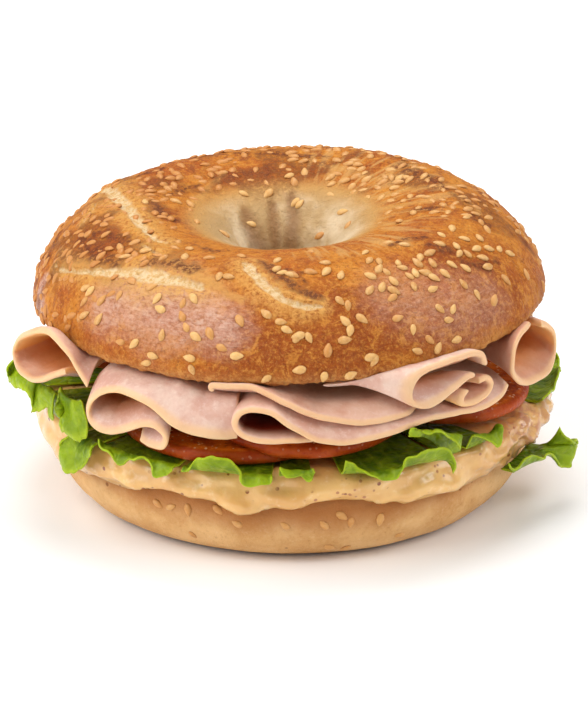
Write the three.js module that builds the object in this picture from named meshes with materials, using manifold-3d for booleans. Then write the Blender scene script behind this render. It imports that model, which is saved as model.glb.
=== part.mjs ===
// A sesame bagel filled with folded ham, tomato slices, lettuce and a spiced spread.
// Millimetres, +Z up. The origin is under the middle of the lower half, where it rests.
// An angle is in degrees round the bagel, from its front (-Y) towards its right (+X).

import * as THREE from 'three';
import Module from 'manifold-3d';
import { mergeVertices } from 'three/addons/utils/BufferGeometryUtils.js';

const wasm = await Module();
wasm.setup();

// ---- Driving sizes ----------------------------------------------------------------------

const gap = 0.3;                // left between pieces that touch
const slicesRound = 52;         // sections round a ring of bread

const crown = {
  offset: -0.8,                 // its middle sits a little to the left
  cut: 44.6,                    // height of its cut face
  rise: 20.4,                   // from the cut face to the crest
  roll: 1.5,                    // degrees, its right side lies higher
  pitch: 0.75,                  // degrees, its back lies higher
  radius: 57.2,
  crestRadius: 36.3,
  crestWave: 0.25,              // how far the crest goes up and down round the ring
  holeRadius: 8.6,
  holeWave: 0.7,                // how far the hole is from round
  holeFlare: 1.4,               // it opens by this much down to the cut face
  widest: 1.8,                  // height of the widest place over the cut face
  waist: 4.5,                   // height of the narrowest place of the hole
  lip: [[3.7, 0], [1.2, 0.9]],  // its lower edge, as [distance inside the widest place, height]
  // Dough rises unevenly: smooth swellings round the ring, as [amount, how many, first angle],
  // and two places where it is flatter, as [angle, half their width, depth].
  swells: [[0.36, 1, 90], [0.62, 2, 0], [0.57, 2, -90], [-0.27, 3, 0]],
  flats: [[-115, 30, 1.06], [120, 30, 0.81]],
};

const heel = {
  cut: 20,                      // height of its cut face
  radius: 54,
  swells: [[0.4, 2, 69], [0.3, 5, 0]],
  widest: 12,
  straight: 4,                  // height of the upright wall over its widest place
  draught: 0.3,                 // how much the wall leans inwards
  footRadius: 43,               // edge of the flat it rests on
  cutRadius: 52.6,
  holeRadius: 9.5,
  holeFoot: 14,
};

const spread = {
  top: 23.4,
  inner: 15,
  reach: 56.4,
  sideReach: 2.4,               // it comes out further at the right, round this angle
  sideAngle: 82,
  sideWidth: 38,
  ripple: 0.4,                  // seven small swellings round its edge
  skin: 1.3,                    // thickness where it runs down the heel
};

const tomato = { thickness: 3.5, reach: 57.3 };

const leaf = {
  level: 24.2,                  // it lies flat on the spread up to its bend
  root: 19,
  bend: 57.6,
  bulge: 0.6,                   // its crest stands out past the middle of bend and rim
  thickness: 0.8,
};

const ham = {
  thickness: 1.5,
  swing: 32,                    // degrees that the folds at the sides turn towards the back
  pressedRadius: 54.5,          // the bread presses the folds together inside this radius
  inside: 16,                   // how far they reach in past it
  middleRadius: 24,
  middleLevel: 40.6,
};

const seed = { length: 3.0, width: 2.0, height: 1.3 };

const colours = {
  crust: 0xb8763a,
  paleCrust: 0xd9b27c,
  spread: 0xdcb083,
  tomato: 0xa8402a,
  lettuce: 0x6f9c2b,
  ham: 0xe6c4b4,
};

// ---- Helpers ----------------------------------------------------------------------------

const degree = Math.PI / 180;
const hamRim = 60;              // radius on which folds are drawn out flat
const millimetresPerDegree = hamRim * degree;

function makeRandom(start) {
  let state = start;
  return () => {
    state = (state * 1664525 + 1013904223) % 4294967296;
    return state / 4294967296;
  };
}

function place(angle, radius, height) {
  return [radius * Math.sin(angle * degree), -radius * Math.cos(angle * degree), height];
}

function bell(angle, middle, width) {
  let away = (angle - middle) % 360;
  if (away > 180) away -= 360;
  if (away < -180) away += 360;
  return Math.exp(-((away / width) ** 2));
}

function signedVolume(positions, triangles) {
  const a = new THREE.Vector3();
  const b = new THREE.Vector3();
  const c = new THREE.Vector3();
  let volume = 0;
  for (let i = 0; i < triangles.length; i += 3) {
    a.fromArray(positions, 3 * triangles[i]);
    b.fromArray(positions, 3 * triangles[i + 1]);
    c.fromArray(positions, 3 * triangles[i + 2]);
    volume += a.dot(b.cross(c)) / 6;
  }
  return volume;
}

// A closed geometry whose faces point outwards whichever way it was wound.
function closedGeometry(positions, triangles) {
  if (signedVolume(positions, triangles) < 0) triangles.reverse();
  const geometry = new THREE.BufferGeometry();
  geometry.setAttribute('position', new THREE.Float32BufferAttribute(positions, 3));
  geometry.setIndex(triangles);
  geometry.computeVertexNormals();
  return geometry;
}

// A ring whose section, a closed loop of [radius, height] points, may change with the angle.
function ringGeometry(sectionAt, around) {
  const positions = [];
  const triangles = [];
  const count = sectionAt(0).length;
  for (let i = 0; i < around; i += 1) {
    const angle = (360 * i) / around;
    for (const [radius, height] of sectionAt(angle)) positions.push(...place(angle, radius, height));
  }
  for (let i = 0; i < around; i += 1) {
    const next = (i + 1) % around;
    for (let j = 0; j < count; j += 1) {
      const after = (j + 1) % count;
      const a = i * count + j;
      const b = next * count + j;
      const c = next * count + after;
      const d = i * count + after;
      triangles.push(a, b, c, a, c, d);
    }
  }
  return closedGeometry(positions, triangles);
}

// A bent slab: pointAt(u, v, side) gives its upper face at side 1 and its lower one at side -1.
// Both faces are split into triangles alike, so a thin slab keeps its thickness.
function slabGeometry(pointAt, columns, stations) {
  const positions = [];
  const triangles = [];
  const rows = stations.length - 1;
  const index = (column, row, face) => (face * (rows + 1) + row) * (columns + 1) + column;
  const quad = (a, b, c, d) => triangles.push(a, b, c, a, c, d);
  for (const side of [-1, 1]) {
    for (const station of stations) {
      for (let i = 0; i <= columns; i += 1) positions.push(...pointAt(i / columns, station, side));
    }
  }
  for (let row = 0; row < rows; row += 1) {
    for (let i = 0; i < columns; i += 1) {
      quad(index(i, row, 1), index(i + 1, row, 1), index(i + 1, row + 1, 1), index(i, row + 1, 1));
      quad(index(i, row, 0), index(i, row + 1, 0), index(i + 1, row + 1, 0), index(i + 1, row, 0));
    }
    const last = columns;
    quad(index(0, row, 1), index(0, row + 1, 1), index(0, row + 1, 0), index(0, row, 0));
    quad(index(last, row, 0), index(last, row + 1, 0), index(last, row + 1, 1), index(last, row, 1));
  }
  for (let i = 0; i < columns; i += 1) {
    quad(index(i, 0, 0), index(i + 1, 0, 0), index(i + 1, 0, 1), index(i, 0, 1));
    quad(index(i, rows, 1), index(i + 1, rows, 1), index(i + 1, rows, 0), index(i, rows, 0));
  }
  return closedGeometry(positions, triangles);
}

function toSolid(geometry) {
  return new wasm.Manifold(new wasm.Mesh({
    numProp: 3,
    vertProperties: new Float32Array(geometry.attributes.position.array),
    triVerts: new Uint32Array(geometry.index.array),
  }));
}

function toGeometry(solid) {
  const mesh = solid.getMesh();
  return closedGeometry(Array.from(mesh.vertProperties), Array.from(mesh.triVerts));
}

// The largest body of a solid, so that a cut leaves no scraps.
function largest(solid) {
  return solid.decompose().reduce((a, b) => (a.volume() > b.volume() ? a : b));
}

const group = new THREE.Group();

function addMesh(name, geometry, color, roughness) {
  const material = new THREE.MeshStandardMaterial({ color, roughness, metalness: 0 });
  const mesh = new THREE.Mesh(geometry, material);
  mesh.name = name;
  group.add(mesh);
  return mesh;
}

// ---- Bread ------------------------------------------------------------------------------

// A quarter of a superellipse from its top to its side, as shares of width and height.
function shoulder(steps, fullness) {
  const points = [];
  for (let i = 0; i <= steps; i += 1) {
    const turn = (i / steps) * 90 * degree;
    points.push([Math.sin(turn) ** (2 / fullness), Math.cos(turn) ** (2 / fullness)]);
  }
  return points;
}

const outerShoulder = shoulder(5, 1.74);
const innerShoulder = shoulder(5, 1.9);

function swelling(swells, angle) {
  return swells.reduce((sum, [amount, count, first]) => (
    sum + amount * Math.sin((count * angle + first) * degree)
  ), 0);
}

function crownRadius(angle) {
  const flat = crown.flats.reduce((sum, [middle, width, depth]) => (
    sum + depth * bell(angle, middle, width)
  ), 0);
  return crown.radius + swelling(crown.swells, angle) - flat;
}

// The crown's outline over its cut face, from the hole over the crest to the outer edge.
function crownSection(angle) {
  const top = crown.rise + crown.crestWave * Math.sin((3 * angle + 34) * degree);
  const radius = crownRadius(angle);
  const hole = crown.holeRadius + crown.holeWave * Math.sin((2 * angle + 46) * degree);
  const section = [[hole + crown.holeFlare, 0], [hole, crown.waist]];
  for (const [across, up] of innerShoulder.slice(0, -1).reverse()) {
    const width = crown.crestRadius - hole;
    section.push([crown.crestRadius - across * width, crown.waist + up * (top - crown.waist)]);
  }
  for (const [across, up] of outerShoulder.slice(1)) {
    const width = radius - crown.crestRadius;
    section.push([crown.crestRadius + across * width, crown.widest + up * (top - crown.widest)]);
  }
  for (const [inside, height] of [...crown.lip].reverse()) section.push([radius - inside, height]);
  return section;
}

// The highest that a filling may reach under the crown, or beside it.
function underCrown(x, y) {
  const across = x - crown.offset;
  const angle = Math.atan2(across, -y) / degree;
  const inside = crownRadius(angle) - Math.hypot(across, y);
  const [[farInside, low], [nearInside, high]] = crown.lip;
  let lip = low;
  if (inside < farInside) lip = (high * (farInside - inside)) / (farInside - nearInside);
  if (inside < nearInside) lip = high + ((crown.widest - high) * (nearInside - inside)) / nearInside;
  if (inside < 0) lip = crown.widest - 4 * inside;
  return crown.cut + lip + across * Math.tan(crown.roll * degree) + y * Math.tan(crown.pitch * degree) - gap;
}

function heelSection(angle) {
  const radius = heel.radius + swelling(heel.swells, angle);
  const section = [[heel.holeRadius + 0.8, heel.cut], [heel.holeRadius, heel.cut / 2]];
  section.push([heel.holeFoot, 0], [heel.footRadius, 0]);
  for (const [across, up] of shoulder(5, 2.0).slice(1)) {
    section.push([heel.footRadius + across * (radius - heel.footRadius), heel.widest * (1 - up)]);
  }
  section.push([radius - heel.draught, heel.widest + heel.straight], [heel.cutRadius, heel.cut]);
  return section;
}

// A sesame seed, half sunk where it lies. Its point is turned about the crust's normal.
function seedSolid(position, normal, turn) {
  const geometry = new THREE.IcosahedronGeometry(1, 0);
  geometry.deleteAttribute('normal');
  geometry.deleteAttribute('uv');
  geometry.scale(seed.length / 2, seed.width / 2, seed.height / 2);
  geometry.rotateZ(turn * degree);
  const up = new THREE.Quaternion().setFromUnitVectors(new THREE.Vector3(0, 0, 1), normal);
  geometry.applyQuaternion(up);
  geometry.translate(position.x, position.y, position.z);
  return toSolid(mergeVertices(geometry));
}

// The point and the normal of a ring of bread, at a share of the way along part of its section.
function ringSurface(sectionAt, angle, share) {
  const pointAt = (at, along) => {
    const section = sectionAt(at);
    const step = Math.min(Math.floor(along * (section.length - 1)), section.length - 2);
    const rest = along * (section.length - 1) - step;
    const radius = THREE.MathUtils.lerp(section[step][0], section[step + 1][0], rest);
    const height = THREE.MathUtils.lerp(section[step][1], section[step + 1][1], rest);
    return new THREE.Vector3(...place(at, radius, height));
  };
  const point = pointAt(angle, share);
  const round = pointAt(angle + 1, share).sub(pointAt(angle - 1, share));
  const along = pointAt(angle, share + 0.01).sub(pointAt(angle, share - 0.01));
  return { point, normal: round.cross(along).normalize() };
}

// Seeds lie thickest on the crest and thin out towards the lower edge. Each one is turned round
// the ring from the one before it by the golden angle, so that they spread evenly.
function crownSeeds(count) {
  const random = makeRandom(11);
  const goldenAngle = 137.508;
  const [first, last] = [0.3, 0.82];    // shares of the way along the section
  const seeds = [];
  for (let i = 0; i < count; i += 1) {
    const angle = (i * goldenAngle + 5 * random()) % 360;
    const share = first + (last - first) * ((i + random()) / count) ** 0.9;
    const { point, normal } = ringSurface(crownSection, angle, share);
    seeds.push(seedSolid(point, normal, 360 * random()));
  }
  return seeds;
}

function heelSeeds() {
  const random = makeRandom(5);
  const seeds = [];
  const angles = [-38, -31, -18, -12, 10, 17, 25, 105, 171, 240];
  for (const angle of angles) {
    const { point, normal } = ringSurface(heelSection, angle, 0.48 + 0.18 * random());
    seeds.push(seedSolid(point, normal, 360 * random()));
  }
  return seeds;
}

function seededBread(sectionAt, seeds) {
  let solid = toSolid(ringGeometry(sectionAt, slicesRound));
  for (const one of seeds) solid = solid.add(one);
  return toGeometry(largest(solid));
}

function buildCrown() {
  const geometry = seededBread(crownSection, crownSeeds(58));
  const mesh = addMesh('bagel_crown', geometry, colours.crust, 0.55);
  mesh.position.set(crown.offset, 0, crown.cut);
  mesh.rotation.set(crown.pitch * degree, -crown.roll * degree, 0);
}

function buildHeel() {
  addMesh('bagel_heel', seededBread(heelSection, heelSeeds()), colours.paleCrust, 0.6);
}

// ---- Spread -----------------------------------------------------------------------------

// The lower edge of its slow drips, as [angle, height] round the heel.
const dripEdge = [
  [-120, 15.6], [-90, 14.2], [-65, 12.2], [-47, 13.9], [-40, 14], [-33, 16.5], [-25, 16.7], [-18, 15.9],
  [-9.5, 13.6], [-3, 15.4], [5, 16.8], [15, 16.7], [22, 14.9], [30, 14], [42, 14], [58, 14.7], [80, 15],
  [110, 15.6], [150, 14.6], [185, 16.2], [215, 14.4],
];

// The value at an angle of a list of [angle, value] that runs round the ring, smoothly joined.
function roundList(list, angle) {
  const count = list.length;
  const first = list[0][0];
  const turned = ((((angle - first) % 360) + 360) % 360) + first;
  let index = list.findIndex(([at]) => at > turned) - 1;
  if (index < 0) index = count - 1;
  const start = list[index];
  const next = index + 1 < count ? list[index + 1] : [list[0][0] + 360, list[0][1]];
  const share = THREE.MathUtils.smoothstep(turned, start[0], next[0]);
  return THREE.MathUtils.lerp(start[1], next[1], share);
}

// It covers the cut face and runs over the edge in slow drips.
function spreadSection(angle) {
  const side = spread.sideReach * bell(angle, spread.sideAngle, spread.sideWidth);
  const reach = spread.reach + side + spread.ripple * Math.sin(7 * angle * degree);
  const lowest = roundList(dripEdge, angle);
  const wall = heel.radius + 0.7 + gap;
  const under = heel.cut + gap;
  return [
    [spread.inner, under],
    [spread.inner, spread.top - 0.8],
    [spread.inner + 2, spread.top],
    [reach - 3.2, spread.top],
    [reach - 0.7, spread.top - 1.2],
    [reach, heel.cut - 0.4],
    [wall + spread.skin, lowest + 1.1],
    [wall + 0.5, lowest],
    [wall, lowest + 0.6],
    [wall, under],
  ];
}

function buildSpread() {
  addMesh('spread', ringGeometry(spreadSection, slicesRound + 8), colours.spread, 0.35);
}

// ---- Tomato -----------------------------------------------------------------------------

// The first three lie on the lettuce, and the others lean on them, trimmed where they rest.
const tomatoSlices = [
  { angle: -22, radius: 27, lowest: 25, lean: 0 },
  { angle: 62, radius: 22, lowest: 26.2, lean: 5 },
  { angle: 168, radius: 25, lowest: 25, lean: 0 },
  { angle: 5, radius: 22.5, lowest: 27, lean: 4.5 },
  { angle: -112, radius: 24, lowest: 26.4, lean: 4.5 },
];

function tomatoGeometry({ angle, radius, lowest, lean }, grow) {
  const half = tomato.thickness / 2 + grow;
  const outer = radius + grow;
  const profile = [[0, -half], [outer - 0.8, -half], [outer, -half + 0.9]];
  profile.push([outer, half - 0.9], [outer - 0.8, half], [0, half]);
  const points = profile.map(([x, y]) => new THREE.Vector2(x, y));
  let geometry = new THREE.LatheGeometry(points, 24);
  geometry.deleteAttribute('normal');
  geometry.deleteAttribute('uv');
  geometry = mergeVertices(geometry);
  geometry.rotateX((90 + lean) * degree);
  const lift = radius * Math.sin(lean * degree);
  geometry.translate(0, radius - tomato.reach, lowest + tomato.thickness / 2 + lift);
  geometry.rotateZ(angle * degree);
  return closedGeometry(Array.from(geometry.attributes.position.array), Array.from(geometry.index.array));
}

function buildTomato() {
  tomatoSlices.forEach((slice, i) => {
    let solid = toSolid(tomatoGeometry(slice, 0));
    for (const below of tomatoSlices.slice(0, i)) {
      solid = solid.subtract(toSolid(tomatoGeometry(below, gap)));
    }
    addMesh(`tomato_slice_${i + 1}`, toGeometry(largest(solid)), colours.tomato, 0.3);
  });
}

// ---- Lettuce ----------------------------------------------------------------------------

// The rim of a leaf with an even ruffle, as [angle, radius, height] points.
function ruffledRim(from, to, radius, height, ruffle, waves) {
  const rim = [];
  const count = 4 * waves;
  for (let i = 0; i <= count; i += 1) {
    const wave = Math.sin((i / count) * waves * 2 * Math.PI + from);
    rim.push([from + ((to - from) * i) / count, radius, height + ruffle * wave]);
  }
  return rim;
}

// A leaf lies flat between two angles up to its bend, and curves from there to its rim. Some
// leaves arch up to a crest first and hang down from it.
const leaves = [
  {
    from: -78, to: -61, crest: 38, columns: 12,
    rim: [[-76, 64.8, 31], [-77.6, 64.8, 28.2], [-71.4, 63.5, 28.7], [-67.9, 63, 29.4], [-66.9, 62.5, 26.9],
      [-67.2, 62, 24.5], [-64.2, 61.5, 25.6], [-62.1, 61, 27.1], [-60.8, 60.8, 25], [-59.6, 60.6, 26]],
  },
  {
    from: -59.5, to: -53.5, crest: 41, columns: 6,
    rim: [[-53.4, 62.2, 27.2], [-51, 62.2, 25.7], [-48.6, 62.2, 25.2], [-46.4, 62, 25.8]],
  },
  {
    from: -52, to: -45.5, crest: 25, columns: 10,
    rim: [[-54.4, 61, 22.6], [-55.8, 61.5, 20], [-55.5, 61.5, 17], [-53.6, 61.5, 15.6], [-51.5, 61.5, 15.9],
      [-49.6, 61.5, 17.3], [-47, 61.5, 20.2], [-45, 61.3, 23]],
  },
  {
    from: -44, to: -24.5, crest: 25, columns: 14,
    rim: [[-43.4, 60.3, 26.8], [-42, 61, 25.6], [-40.3, 61.2, 25], [-37.6, 61.3, 22.6], [-36.4, 61.2, 22.9],
      [-35, 60.8, 25], [-32.6, 60.4, 26.2], [-31.2, 60.3, 25.8], [-29.9, 60.6, 24], [-29, 60.8, 21.7],
      [-27, 60.8, 22.2], [-24.8, 60.6, 24]],
  },
  {
    from: -23, to: -4, crest: 25, columns: 14,
    rim: [[-23.3, 60, 23.8], [-21.2, 60.5, 25.5], [-19.5, 60.5, 27.5], [-16.8, 61, 29], [-14.5, 61, 29.3],
      [-12.2, 61, 28.5], [-10.8, 61, 26.5], [-10.1, 61, 24], [-8.8, 61, 22.5], [-6, 60.7, 23.1],
      [-4.2, 60.3, 23.2], [-3.6, 60, 24.6]],
  },
  {
    from: -2.6, to: 4.4, crest: 28, columns: 8,
    rim: [[-2.2, 59.8, 26], [-1.4, 60.2, 25], [0.2, 60.4, 24.5], [2, 60.4, 25], [3.4, 60.6, 23.8],
      [4.3, 60.6, 24.4], [4.4, 60.2, 25.8]],
  },
  {
    from: 10.5, to: 33.5, crest: 25, columns: 15,
    rim: [[11.1, 59.6, 28], [12.5, 60, 27.4], [13.4, 60.5, 25.9], [15.1, 61, 24.6], [17.6, 61, 24],
      [21.5, 61.7, 23.3], [22.6, 62, 25.7], [23.6, 62.4, 28], [26, 62.8, 29.6], [30.3, 63, 28.9],
      [33.1, 63, 26.7], [34.7, 62.5, 23.6], [34.2, 62, 21.7]],
  },
  {
    from: 35, to: 39.5, crest: 32, columns: 8,
    rim: [[23.6, 61.9, 32.6], [24.2, 62, 34.6], [26, 62, 33.9], [27.9, 62, 32.3], [30, 61.8, 31.8],
      [32, 61.8, 31], [34, 61.8, 29.3], [36.2, 61.6, 26.6]],
  },
  {
    from: 41, to: 49, crest: 29, columns: 8,
    rim: [[41, 60.2, 28], [42.9, 60.5, 27], [44.8, 60.8, 25.4], [46.5, 61.3, 23.8], [47.9, 61.3, 25],
      [48.8, 61, 26.8], [49.2, 60.6, 27.8]],
  },
  {
    from: 57, to: 73, crest: 15, columns: 18, root: 55.4, level: 13.4, bend: 58.4,
    rim: [[51.6, 60.4, 18], [51.9, 60.8, 16.8], [53.2, 61, 15.7], [55.2, 61.4, 15.6], [56.4, 61.8, 17.4],
      [58.4, 62, 17.6], [66, 62.5, 14.6], [69.6, 63.2, 12.4], [71.4, 64, 9.9], [73.6, 64.8, 8.4],
      [75.4, 65.4, 9.6], [76, 66, 12], [79.5, 66, 11.8], [74, 65.8, 15.4], [71.4, 64.6, 17],
      [70.4, 63.4, 19.4]],
  },
  {
    from: 72, to: 108, crest: 25, columns: 14,
    rim: [[71, 59.6, 25], [74, 60.2, 26.4], [78, 60.6, 25], [82, 60.9, 28.4], [86, 61.2, 27], [90, 61.2, 24],
      [95, 61.4, 26.4], [100, 61.5, 23.6], [106, 61.2, 25.4]],
  },
  { from: 112, to: 186, crest: 25, columns: 18, rim: ruffledRim(112, 186, 61.2, 23.4, 2, 6) },
  { from: 190, to: 278, crest: 25, columns: 21, rim: ruffledRim(190, 278, 61.2, 22.8, 2.2, 7) },
];

// A smooth curve through [angle, radius, height] points, as points drawn out flat.
function rimCurve(points) {
  const flat = points.map(([angle, radius, height]) => (
    new THREE.Vector3(angle * millimetresPerDegree, height, radius)
  ));
  return new THREE.CatmullRomCurve3(flat, false, 'centripetal');
}

function leafMiddle(one, curve, u, v) {
  const { level = leaf.level, root = leaf.root, bend = leaf.bend } = one;
  const angle = THREE.MathUtils.lerp(one.from, one.to, u);
  if (v <= 0.5) return new THREE.Vector3(...place(angle, THREE.MathUtils.lerp(root, bend, v / 0.5), level));
  const rim = curve.getPointAt(THREE.MathUtils.clamp(u, 0, 1));
  const end = new THREE.Vector3(...place(rim.x / millimetresPerDegree, rim.z, rim.y));
  const start = new THREE.Vector3(...place(angle, bend, level));
  const crestAngle = (angle + rim.x / millimetresPerDegree) / 2;
  const crest = new THREE.Vector3(...place(crestAngle, (bend + rim.z) / 2 + leaf.bulge, one.crest));
  return new THREE.QuadraticBezierCurve3(start, crest, end).getPoint((v - 0.5) / 0.5);
}

function leafPoint(one, curve, u, v, side) {
  const small = 0.01;
  const middle = leafMiddle(one, curve, u, v);
  const before = Math.max(u - small, 0);
  const after = Math.min(u + small, 1);
  const round = leafMiddle(one, curve, after, v).sub(leafMiddle(one, curve, before, v));
  const out = leafMiddle(one, curve, u, Math.min(v + small, 1)).sub(leafMiddle(one, curve, u, v - small));
  const normal = out.cross(round).normalize();
  return middle.addScaledVector(normal, (side * leaf.thickness) / 2).toArray();
}

function buildLettuce() {
  leaves.forEach((one, i) => {
    const curve = rimCurve(one.rim);
    const pointAt = (u, v, side) => leafPoint(one, curve, u, v, side);
    const geometry = slabGeometry(pointAt, one.columns, [0, 0.5, 0.75, 1]);
    addMesh(`lettuce_leaf_${i + 1}`, geometry, colours.lettuce, 0.45);
  });
}

// ---- Ham --------------------------------------------------------------------------------

// Each slice is drawn by its rim, as [angle, radius, height, pressed] points along its folds.
// The last number is the height to which the bread presses that fold further in.
const shownSlices = [
  {
    name: 'left_roll', columns: 17,
    points: [[-46.6, 60.5, 37.7, 43.4], [-49.1, 61, 40.9, 43.4], [-51.8, 62, 44.9, 43.4],
      [-56.5, 63, 47.4, 43.4], [-59.9, 63.5, 46.8, 43.2], [-64.8, 64, 44.4, 42.4], [-69.9, 64.5, 40.7, 41],
      [-71.4, 65, 37.4, 39], [-69.4, 65, 35, 37], [-64.5, 64.6, 34.3, 35.6], [-59.6, 64, 35.4, 35.6], [-56.2, 63, 37.6, 36.4],
      [-52.4, 61.6, 39.6, 38]],
  },
  {
    name: 'left_front', columns: 25,
    points: [[-14, 59.5, 32.6, 41], [-18.6, 60.3, 33, 41.2], [-24.1, 60.8, 34.5, 43.2], [-30, 61, 38.4, 43.3],
      [-36.6, 61, 39.7, 43.3], [-40.2, 61, 38.7, 43], [-43.3, 61, 36.7, 42], [-45.3, 61, 34.5, 40.4],
      [-46.2, 61, 32, 38.4], [-45.5, 61, 30, 36.4], [-43.5, 61, 29.1, 35.2], [-39.5, 61, 29.2, 34.8],
      [-35.1, 61, 31.2, 36.6], [-31.7, 61, 33, 38.4], [-28.3, 61, 33.3, 38.4], [-26.2, 60.8, 31.4, 36.8],
      [-27, 60.5, 28.8, 34.9], [-30.2, 60.2, 28.4, 34.5], [-32.6, 60, 29.4, 34.5]],
  },
  {
    name: 'front_roll', columns: 24,
    points: [[51, 60.5, 37, 37], [49.6, 60.5, 35.2, 36.2], [46.6, 60.5, 34.2, 35.6], [41.6, 60.5, 33.9, 35.5],
      [36, 60.5, 34.6, 35.3], [29.3, 60.6, 35, 35.5], [24.6, 60.8, 34.3, 36.2], [19.1, 61, 33.3, 37.1],
      [12.1, 61, 32.4, 37.3], [5.6, 61, 33.3, 37.6], [0.3, 61, 36.5, 39.3], [-4, 61, 39.7, 41.2],
      [-7.5, 61, 40.4, 41.3], [-10.2, 61, 39.4, 40], [-11.3, 61, 37, 38], [-10, 61, 34.5, 36],
      [-6.6, 61, 33.2, 35], [-1.4, 60.6, 33.1, 35], [1.6, 60.2, 33.2, 35]],
  },
  {
    name: 'upper_front', columns: 15,
    points: [[-17, 57, 42.2, 42.6], [-17.2, 57.2, 43.4, 43.4], [-13.2, 57.6, 43.9, 43.4],
      [-8, 58, 44.1, 43.4], [-4.4, 58.8, 43, 43.4], [-0.8, 59.8, 41.4, 42.1], [4.8, 60, 38.7, 39.7],
      [10.5, 60, 37, 39.3], [16, 60, 36.1, 39.3], [21, 60, 36.3, 39.3], [25.4, 60, 36.9, 39.4]],
  },
  {
    name: 'right_roll', columns: 17, heading: [130, -1.8], inside: 1.5,
    points: [[44.4, 60, 43.4, 43.4], [43.4, 60, 45.8, 43.4], [41.3, 60, 46.9, 43.4], [38.3, 60, 47.1, 43.4],
      [33, 60.2, 46.6, 43.4], [28.3, 60.6, 45.7, 43.4], [25.7, 61, 44.2, 43.2], [24.8, 61, 42, 42.6],
      [25.2, 61, 39.8, 41.8], [27, 61, 38.4, 41.4], [29.4, 61, 38, 41.3], [32, 61, 39, 41.3],
      [35, 61, 40.8, 41.3], [38.2, 61, 42.4, 41.3], [40.2, 61, 42.8, 41.3]],
  },
  {
    name: 'right_curl', columns: 12, heading: [130, -1.8], inside: 1.5,
    points: [[41.4, 61, 40.9, 39.3], [43.8, 61, 40.7, 39.2], [45.3, 61, 39, 38.4], [44.6, 61, 37.4, 37.6],
      [42.2, 61, 36.4, 37.3], [39.2, 61, 36.1, 37.3], [37.2, 61, 36.8, 37.6], [37.2, 61, 38.4, 38.2],
      [38.4, 61, 39.7, 38.8]],
  },
  {
    name: 'far_right_roll', columns: 16,
    points: [[61.6, 59.4, 46.9, 43.4], [56.8, 60, 46.6, 43.2], [53.7, 60.5, 44.9, 42.4], [52.2, 61, 42.2, 41],
      [52.3, 61, 39.3, 39], [54.2, 61, 36.7, 37.2], [57.7, 61, 34.8, 36], [63, 61.4, 33.9, 35.6],
      [67.4, 62, 34.3, 36], [70.4, 62, 36, 37.4], [71.2, 62, 38.6, 39.4], [69.9, 62, 42, 41.6],
      [67.8, 61, 44.6, 43.2], [65.4, 60.4, 45.8, 43.4]],
  },
];

// The sides have a plain slice each, folded once.
const sideSlices = [[1, 'right_side'], [-1, 'left_side']].map(([side, name]) => ({
  name,
  columns: 8,
  inside: 12,
  points: [
    [84, 57, 39.6, 43.4], [89, 57, 41.6, 43.4], [95, 57, 42.2, 43.4], [101, 57, 40.8, 42.4],
    [102.6, 57, 38.4, 40], [98, 57, 36, 38], [91, 57, 35, 36.6], [85, 57, 35.4, 36.6],
  ].map(([angle, radius, height, pressed]) => [side * angle, radius, height, pressed]),
}));

// The back is filled in the same way, with slices that fold the other way round and end
// closer to the bread.
const backCopies = ['far_right_roll', 'front_roll', 'left_front', 'right_roll', 'left_roll'];
const backSlices = backCopies.map((name) => {
  const slice = shownSlices.find((one) => one.name === name);
  return {
    name: `back_${name}`,
    columns: Math.round(slice.columns * 0.65),
    inside: 10,
    points: slice.points.map(([angle, radius, height, pressed]) => (
      [180 - angle, radius - 3.4, Math.min(height, 46.6), pressed]
    )),
  };
});

// The direction in which a fold runs inwards at an angle, in degrees.
function foldHeading({ heading }, angle) {
  if (heading) return heading[0] + heading[1] * angle;
  return angle - ham.swing * Math.sin(angle * degree);
}

// A place on a fold: share 0 is its rim, 1 is where the bread presses it, and 2 its inner end.
function hamPlace(slice, angle, radius, height, pressed, share) {
  const heading = foldHeading(slice, angle);
  const inwards = radius * Math.cos((heading - angle) * degree);
  const toPress = inwards - Math.sqrt(inwards ** 2 - radius ** 2 + ham.pressedRadius ** 2);
  const depth = Math.min(share, 1) * toPress + Math.max(share - 1, 0) * (slice.inside || ham.inside);
  const [x0, y0] = place(angle, radius, 0);
  const x = x0 - depth * Math.sin(heading * degree);
  const y = y0 + depth * Math.cos(heading * degree);
  const level = pressed + x * Math.tan(crown.roll * degree) + y * Math.tan(crown.pitch * degree);
  const press = Math.sin(Math.min(share, 1) * 90 * degree);
  return [x, y, THREE.MathUtils.lerp(height, level, press)];
}

function hamGeometry(slice) {
  const curve = rimCurve(slice.points);
  const presses = slice.points.map(([, , , pressed]) => new THREE.Vector3(pressed, 0, 0));
  const pressedAt = (u) => {
    const t = curve.getUtoTmapping(u) * (presses.length - 1);
    const index = Math.min(Math.floor(t), presses.length - 2);
    return THREE.MathUtils.lerp(presses[index].x, presses[index + 1].x, t - index);
  };
  const pointAt = (u, share, side) => {
    const point = curve.getPointAt(u);
    const tangent = curve.getTangentAt(u);
    const flatLength = Math.hypot(tangent.x, tangent.y);
    const sideways = (-side * tangent.y * ham.thickness) / 2 / flatLength;
    const up = (side * tangent.x * ham.thickness) / 2 / flatLength;
    const angle = (point.x + sideways) / millimetresPerDegree;
    const [x, y, z] = hamPlace(slice, angle, point.z, point.y, pressedAt(u), share);
    const highest = underCrown(x, y) - ham.thickness / 2;
    return [x, y, Math.min(z, highest) + up];
  };
  return slabGeometry(pointAt, slice.columns, [0, 0.5, 1, 2]);
}

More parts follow.
